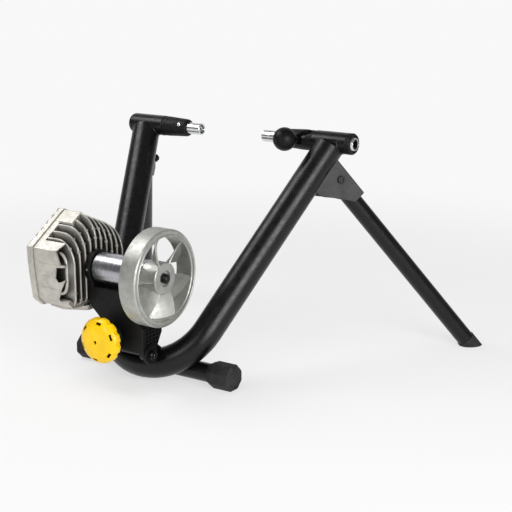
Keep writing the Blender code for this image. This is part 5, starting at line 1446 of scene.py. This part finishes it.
def unit_span(y):
    """Lowest and highest point of the outline at a distance from the axis."""
    corners = unit_outline()
    heights = []
    for one, two in zip(corners, corners[1:] + corners[:1]):
        if min(one[0], two[0]) <= y <= max(one[0], two[0]) and one[0] != two[0]:
            part = (y - one[0]) / (two[0] - one[0])
            heights.append(one[1] + (two[1] - one[1]) * part)
    return min(heights), max(heights)


def across_roller():
    """A placement for outlines given as (y, z) from the roller's axis, extruded along X."""
    return roller_line() @ FROM_SIDE


def along_roller():
    """A placement for outlines given as (x, z) from the roller's axis, extruded towards -Y."""
    return roller_line() @ FROM_FRONT


def fin(y):
    """One cooling fin: a D-shaped plate with a wide rounded shoulder and a rounded rim."""
    unit = settings("unit")
    low, high = unit_span(y)
    low += 0.0015
    high -= 0.0006
    start = unit.seam_x + 0.004
    foot = unit.fin_foot
    wide = unit.shoulder_x
    shoulder = min(unit.shoulder_z, (high - low) * 0.45)
    outline = [(start, low), *arc((unit.right_x - foot, low + foot), foot, -90, 0, 8),
               *arc((unit.right_x - wide, high - shoulder), wide, 0, 90, 12, shoulder)[1:], (start, high)]
    half = unit.fin_thick / 2
    plate = extruded("fin", outline, -y - half, -y + half, along_roller())
    return soften(plate, unit.fin_thick * 0.42)


def first_fin(y):
    """The short fin behind the window of the front skin, open inside its rounded rim."""
    unit = settings("unit")
    rim = [(0.004, 0.0352), (0.0480, 0.0352), (0.0550, 0.0330), (0.0608, 0.0290), (0.0645, 0.0220),
           (0.0662, 0.0135), (0.0664, -0.0120), (0.0660, -0.0200), (0.0640, -0.0290), (0.0610, -0.0345),
           (0.0560, -0.0380), (0.0490, -0.0395), (0.004, -0.0395)]
    opening = [(0.0300, 0.0308), (0.0505, 0.0308), (0.0570, 0.0272), (0.0608, 0.0210), (0.0627, 0.0120),
               (0.0629, -0.0120), (0.0620, -0.0210), (0.0595, -0.0290), (0.0550, -0.0340), (0.0300, -0.0350)]
    half = unit.fin_thick / 2
    place = along_roller() @ Matrix.Translation((unit.seam_x, 0.0, 0.0))
    plate = soften(extruded("fin", rim, -y - half, -y + half, place), half * 0.8)
    return cut(plate, soften(extruded("opening", opening, -y - PAST, -y + PAST, place), 0.001, 2))


def fin_places():
    unit = settings("unit")
    return [unit.fin_first + unit.fin_pitch * index for index in range(unit.fin_count)]


def make_housing():
    """The finned casting: wall, core, neck, base, pad, fins, front skin, web and nubs, then its bores."""
    unit = settings("unit")
    line = roller_line()
    across = across_roller()
    wall_end = unit.seam_x + unit.wall_x
    behind = unit.seam_x + 0.002
    mount_face = settings("yoke").mount_left - GAP
    neck = unit.neck_radius
    core = 0.046
    chamber = 0.0425
    bearing_seat = 0.0143
    seal_seat = 0.0103
    body = extruded("unit_housing_cast", unit_outline(), unit.seam_x, wall_end, across)
    soften(body, 0.0008, 2, 20.0)
    join(body, rod("core", behind, unit.core_end, core, line),
         turned("neck", [(unit.core_end - 0.001, 0.0), (unit.core_end - 0.001, neck + 0.006),
                         (unit.core_end + 0.006, neck), (mount_face, neck), (mount_face, 0.0)], line))
    base = [(-0.0640, -0.052), (-0.051, -0.064), (0.054, -0.066), (0.070, -0.050), (0.070, -0.047),
            (0.050, -0.0565), (-0.048, -0.0555), (-0.058, -0.047)]
    pad = [(0.0070, 0.0868), (0.004, 0.0880), (-0.0195, 0.0730), (-0.0195, 0.058), (0.0070, 0.068)]
    join(body, soften(extruded("base", base, behind, unit.right_x - unit.base_inset, across), 0.001, 2),
         soften(extruded("pad", pad, behind, unit.seam_x + unit.band, across), 0.0014, 3, 40.0))
    first, *others = fin_places()
    join(body, first_fin(first), *[fin(y) for y in others])
    join(body, make_front_skin(), make_web(wall_end - GAP, mount_face))
    join_nubs(body)
    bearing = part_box("unit_bearing")[0].x
    cut(body, rod("bearing_seat", bearing - GAP, 0.0, bearing_seat, line, MEDIUM),
        rod("seal_seat", unit.seam_x + 0.02, bearing, seal_seat, line, MEDIUM),
        rod("chamber", unit.seam_x - PAST, unit.seam_x + 0.026, chamber, line))
    finish(body, "swing_yoke", "cast_aluminium", ["unit_housing"])


def make_web(left, right):
    """The web under the roller, which slopes down from the casting to the mount."""
    unit = settings("unit")
    drop = unit.flange_drop
    bend_x = -0.1060
    plan = [(left, -0.0495), (bend_x, -0.0495), (-0.0780, -0.0260), (right, -0.0205), (right, 0.030),
            (bend_x, 0.045), (left, 0.045)]
    web = extruded("web", plan, -drop, -drop + unit.flange_thick, roller_line())
    end = left - unit.flange_thick
    below = [(end, -unit.flange_left_drop), (right, -drop), (right, -2 * drop), (end, -2 * drop)]
    cut(web, extruded("below", below, -0.1, 0.1, along_roller()))
    return soften(web, 0.0009)


def make_front_skin():
    """The smooth front of the casting, with the cut-out that shows the first fins."""
    unit = settings("unit")
    seam = unit.seam_x
    window = [(0.002, 0.0520), (0.0592, 0.0520), (0.0489, 0.0353), (0.0529, 0.0245), (0.0569, 0.0149),
              (0.0672, 0.0143), (0.0666, 0.0108), (0.0477, 0.0084), (0.0438, -0.0105), (0.0485, -0.0176),
              (0.0540, -0.0158), (0.0655, -0.0106), (0.0535, -0.0297), (0.0454, -0.0471), (0.0500, -0.0545),
              (0.0600, -0.0590), (0.0600, -0.0700), (0.002, -0.0700)]
    skin_back = -0.0560
    skin = extruded("skin", [(seam + x, z) for x, z in window], -skin_back, 0.0800, along_roller())
    combine(skin, extruded("shell", unit_outline(unit.skin_inset), seam, 0.0, across_roller()), "INTERSECT")
    inside = [(skin_back, 0.0435), (-0.0690, 0.0345), (-0.0675, -0.0087), (-0.0615, -0.050),
              (skin_back, -0.0565), (0.020, -0.080), (0.020, 0.060)]
    cut(skin, extruded("inside", inside, seam + unit.wall_x, 0.01, across_roller()))
    soften(skin, 0.0007, 2, 25.0)
    for y, z in unit_outline(unit.skin_inset)[3:6]:
        crease = roller_line() @ Matrix.Translation((0.0, y - unit.crease, z))
        cut(skin, rod("crease", seam + 0.004, 0.0, 2 * unit.crease, crease, 12))
    return skin


def join_nubs(body):
    """Small ejector nubs on the fins' rims, on a circle about the roller's axis."""
    unit = settings("unit")
    half = 0.0034
    shape = [(-half, 0.0), (-half, 0.0016), (-0.0027, 0.0024), (0.0027, 0.0024), (half, 0.0016), (half, 0.0)]
    for y in fin_places()[1:-1]:
        low, high = unit_span(y)
        top = high - unit.shoulder_z
        for circle, sign in ((0.062, 1), (0.062, -1), (0.047, 1)):
            if abs(y) > circle * 0.96:
                continue
            z = sign * sqrt(circle ** 2 - y ** 2)
            if not low + 0.010 < z < high - 0.006:
                continue
            x = unit.right_x
            if z > top:
                x -= unit.shoulder_x * (1 - sqrt(max(0.0, 1 - ((z - top) / unit.shoulder_z) ** 2)))
            spot = roller_line() @ Matrix.Translation((x - 0.0028, y, z)) @ Matrix.Rotation(pi / 2, 4, "Z")
            join(body, turned("nub", shape, spot, 20))


def make_cover():
    """The outer cover, a plate with a rounded edge and slots that follow the fins, and its six screws."""
    unit = settings("unit")
    line = roller_line()
    start = unit.seam_x - GAP
    end = start - unit.cover_thick
    edge = unit.cover_round
    bm = bmesh.new()
    face = bm.faces.new([bm.verts.new((start, y, z)) for y, z in unit_outline(-unit.cover_proud)])
    stations = [(start, 0.0)] + arc((end + edge, edge), edge, 270, 180, 6)
    for (_, inset_before), (after, inset) in zip(stations, stations[1:]):
        verts, face = extend(bm, face)
        for vert in verts:
            reach = sqrt(vert.co.y ** 2 + vert.co.z ** 2)
            scale = (reach - (inset - inset_before)) / reach
            vert.co = Vector((after, vert.co.y * scale, vert.co.z * scale))
    bmesh.ops.recalc_face_normals(bm, faces=bm.faces[:])
    body = soften(piece_from("unit_cover_cast", bm, line), 0.0008, 2, 28.0)
    fins = fin_places()
    land = 0.0017
    for one, two in zip(fins, fins[1:]):
        cut(body, block("slot", (end - PAST, one + land, -0.12), (end + 0.007, two - land, 0.12), line))
    seat = end + 0.009 - GAP
    head = 0.0042
    shank = 0.0022
    for number in range(6):
        node = "cover_screw_%d" % (number + 1)
        low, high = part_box(node)
        spot = Matrix.Translation((0.0, (low.y + high.y) / 2, (low.z + high.z) / 2))
        cut(body, rod("counterbore", end - PAST, seat + GAP, head + 0.001, spot, SMALL),
            rod("hole", end - PAST, 0.0, shank + GAP, spot, SMALL))
        screw = turned(node + "_turned", [
            (seat - 0.003, 0.0), (seat - 0.003, head - 0.0008), (seat - 0.0024, head), (seat, head),
            (seat, shank), (high.x, shank), (high.x, 0.0)], spot, SMALL)
        cut(screw, hexagon("key", seat - PAST, seat - 0.0012, 0.004, spot))
        finish(screw, "swing_yoke", "dark_steel", [node])
    finish(body, "swing_yoke", "cast_aluminium", ["unit_cover"])


class TRAINER_OT_fluid_unit(bpy.types.Operator):
    """Build the finned fluid unit and its cover"""
    bl_idname = "trainer.fluid_unit"
    bl_label = "Fluid unit"

    def execute(self, context):
        make_housing()
        make_cover()
        return {"FINISHED"}


# Nodes that keep their own shape

KEPT_NODES = {
    "bright_zinc": ["draw_barrel", "thrust_washer", "roller_bearing", "unit_bearing"],
    "dark_steel": ["draw_bolt", "rotor_shaft"],
    "black_casting": ["clutch_core"],
    "rubber": ["shaft_seal"],
    "cast_aluminium": ["impeller"],
}


class TRAINER_OT_kept_nodes(bpy.types.Operator):
    """Dress the inner pieces that keep their own shape"""
    bl_idname = "trainer.kept_nodes"
    bl_label = "Inner pieces"

    def execute(self, context):
        for slot, names in KEPT_NODES.items():
            for name in names:
                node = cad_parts[name]
                node.data.materials.clear()
                node.data.materials.append(finish_named(slot))
        return {"FINISHED"}


# Stage, light and camera

def seen(nodes, links):
    """1 for what the camera, glass and polished metal see, else 0."""
    path = nodes.new("ShaderNodeLightPath")
    either = path.outputs["Is Camera Ray"]
    for name in ("Is Glossy Ray", "Is Transmission Ray"):
        either = arithmetic(nodes, links, "MAXIMUM", either, path.outputs[name])
    return either


def stage_material(base):
    """White paper that takes soft shadows near the object and is evenly white further off."""
    stage = settings("stage")
    material, nodes, links, shader, point = surface("stage_paper", base, 0.9, 0.0)
    shader.inputs["Specular IOR Level"].default_value = 0.0
    tint(nodes, links, shader, noise(nodes, links, point, 3.0), base, 0.995, 1.005)
    reach = nodes.new("ShaderNodeVectorMath")
    reach.operation = "LENGTH"
    links.new(point, reach.inputs[0])
    even = nodes.new("ShaderNodeMapRange")
    even.interpolation_type = "SMOOTHERSTEP"
    even.inputs["From Min"].default_value = stage.paper_reach / 6
    even.inputs["From Max"].default_value = stage.paper_reach
    even.inputs["To Min"].default_value = stage.paper
    links.new(reach.outputs["Value"], even.inputs["Value"])
    white = nodes.new("ShaderNodeEmission")
    white.inputs["Color"].default_value = (*base, 1.0)
    blend = nodes.new("ShaderNodeMixShader")
    part = arithmetic(nodes, links, "MULTIPLY", even.outputs["Result"], seen(nodes, links))
    links.new(part, blend.inputs["Fac"])
    links.new(shader.outputs["BSDF"], blend.inputs[1])
    links.new(white.outputs["Emission"], blend.inputs[2])
    links.new(blend.outputs["Shader"], nodes["Material Output"].inputs["Surface"])
    return material


def make_floor():
    """A flat floor, just under the feet."""
    reach = 12.0
    below = 0.0006
    bm = bmesh.new()
    bmesh.ops.create_grid(bm, x_segments=8, y_segments=8, size=reach)
    bmesh.ops.translate(bm, verts=bm.verts[:], vec=(0.0, 0.0, -below))
    floor = piece_from("floor", bm)
    floor.data.materials.append(stage_material(settings("finish").floor))


def add_light(name, place, target, size, watts):
    lamp = bpy.data.lights.new(name, "AREA")
    lamp.shape = "RECTANGLE"
    lamp.size, lamp.size_y = size
    lamp.energy = watts
    thing = bpy.data.objects.new(name, lamp)
    thing.location = place
    thing.visible_camera = False
    thing.rotation_euler = (Vector(target) - Vector(place)).to_track_quat("-Z", "Y").to_euler()
    bpy.context.scene.collection.objects.link(thing)


def make_world():
    """A white surrounding, seen white by the camera, and dimmer on the side of the camera's room."""
    stage = settings("stage")
    world = bpy.data.worlds.new("studio")
    bpy.context.scene.world = world
    world.use_nodes = True
    nodes = world.node_tree.nodes
    links = world.node_tree.links
    facing = nodes.new("ShaderNodeVectorMath")
    facing.operation = "DOT_PRODUCT"
    facing.inputs[1].default_value = (-sin(stage.camera_azimuth), cos(stage.camera_azimuth), 0.15)
    links.new(nodes.new("ShaderNodeTexCoord").outputs["Generated"], facing.inputs[0])
    side = ramp(nodes, links, facing.outputs["Value"], stage.room, 1.0, 0.62, 0.90)
    path = nodes.new("ShaderNodeLightPath")
    level = nodes.new("ShaderNodeMix")
    level.inputs["A"].default_value = stage.sky
    links.new(side, level.inputs["B"])
    links.new(path.outputs["Is Glossy Ray"], level.inputs["Factor"])
    straight = arithmetic(nodes, links, "MAXIMUM", path.outputs["Is Camera Ray"],
                          path.outputs["Is Transmission Ray"])
    strongest = arithmetic(nodes, links, "MAXIMUM", level.outputs["Result"], straight)
    background = nodes["Background"]
    background.inputs["Color"].default_value = (*settings("finish").floor, 1.0)
    links.new(strongest, background.inputs["Strength"])


def make_camera():
    stage = settings("stage")
    lens = bpy.data.cameras.new("photo_view")
    lens.lens = stage.focal_length
    lens.sensor_width = 36.0
    lens.clip_start = 0.05
    camera = bpy.data.objects.new("photo_view", lens)
    camera.location = stage.camera_place
    camera.rotation_euler = (pi / 2 - stage.camera_elevation, 0.0, stage.camera_azimuth)
    bpy.context.scene.collection.objects.link(camera)
    bpy.context.scene.camera = camera


class TRAINER_OT_stage(bpy.types.Operator):
    """Set up the floor, the soft light and the camera"""
    bl_idname = "trainer.stage"
    bl_label = "Stage"

    def execute(self, context):
        stage = settings("stage")
        make_camera()
        make_floor()
        make_world()
        middle = (0.0, 0.0, 0.2)
        add_light("key", (-0.70, -0.45, 1.30), middle, (0.8, 0.6), stage.key_power)
        add_light("front", (-0.1, -2.5, 1.05), middle, (0.9, 0.9), stage.front_power)
        add_light("side", (2.07, -1.10, 0.80), middle, (1.3, 1.2), stage.side_power)
        context.scene.view_settings.view_transform = "Standard"
        return {"FINISHED"}


OPERATORS = [TRAINER_OT_stage, TRAINER_OT_stand, TRAINER_OT_axle_clamps, TRAINER_OT_legs,
             TRAINER_OT_foot_bar, TRAINER_OT_yoke, TRAINER_OT_knob, TRAINER_OT_rotor,
             TRAINER_OT_fluid_unit, TRAINER_OT_kept_nodes]


class TRAINER_PT_build(bpy.types.Panel):
    """Lists the pieces and the sizes and colours that they are built from"""
    bl_idname = "TRAINER_PT_build"
    bl_label = "Fluid bike trainer"
    bl_space_type = "VIEW_3D"
    bl_region_type = "UI"
    bl_category = "Trainer"

    def draw(self, context):
        for operator in OPERATORS:
            self.layout.operator(operator.bl_idname)
        for name in GROUPS:
            group = getattr(context.scene, name)
            box = self.layout.box()
            for size in group.__annotations__:
                box.prop(group, size)


def register():
    for group in GROUPS.values():
        bpy.utils.register_class(group)
    for name, group in GROUPS.items():
        setattr(bpy.types.Scene, name, PointerProperty(type=group))
    for operator in OPERATORS:
        bpy.utils.register_class(operator)
    bpy.utils.register_class(TRAINER_PT_build)


def unregister():
    bpy.utils.unregister_class(TRAINER_PT_build)
    for operator in reversed(OPERATORS):
        bpy.utils.unregister_class(operator)
    for name in GROUPS:
        delattr(bpy.types.Scene, name)
    for group in GROUPS.values():
        bpy.utils.unregister_class(group)


def main():
    register()
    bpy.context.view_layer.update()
    for operator in OPERATORS:
        group, name = operator.bl_idname.split(".")
        getattr(getattr(bpy.ops, group), name)()


if __name__ == "__main__":
    main()
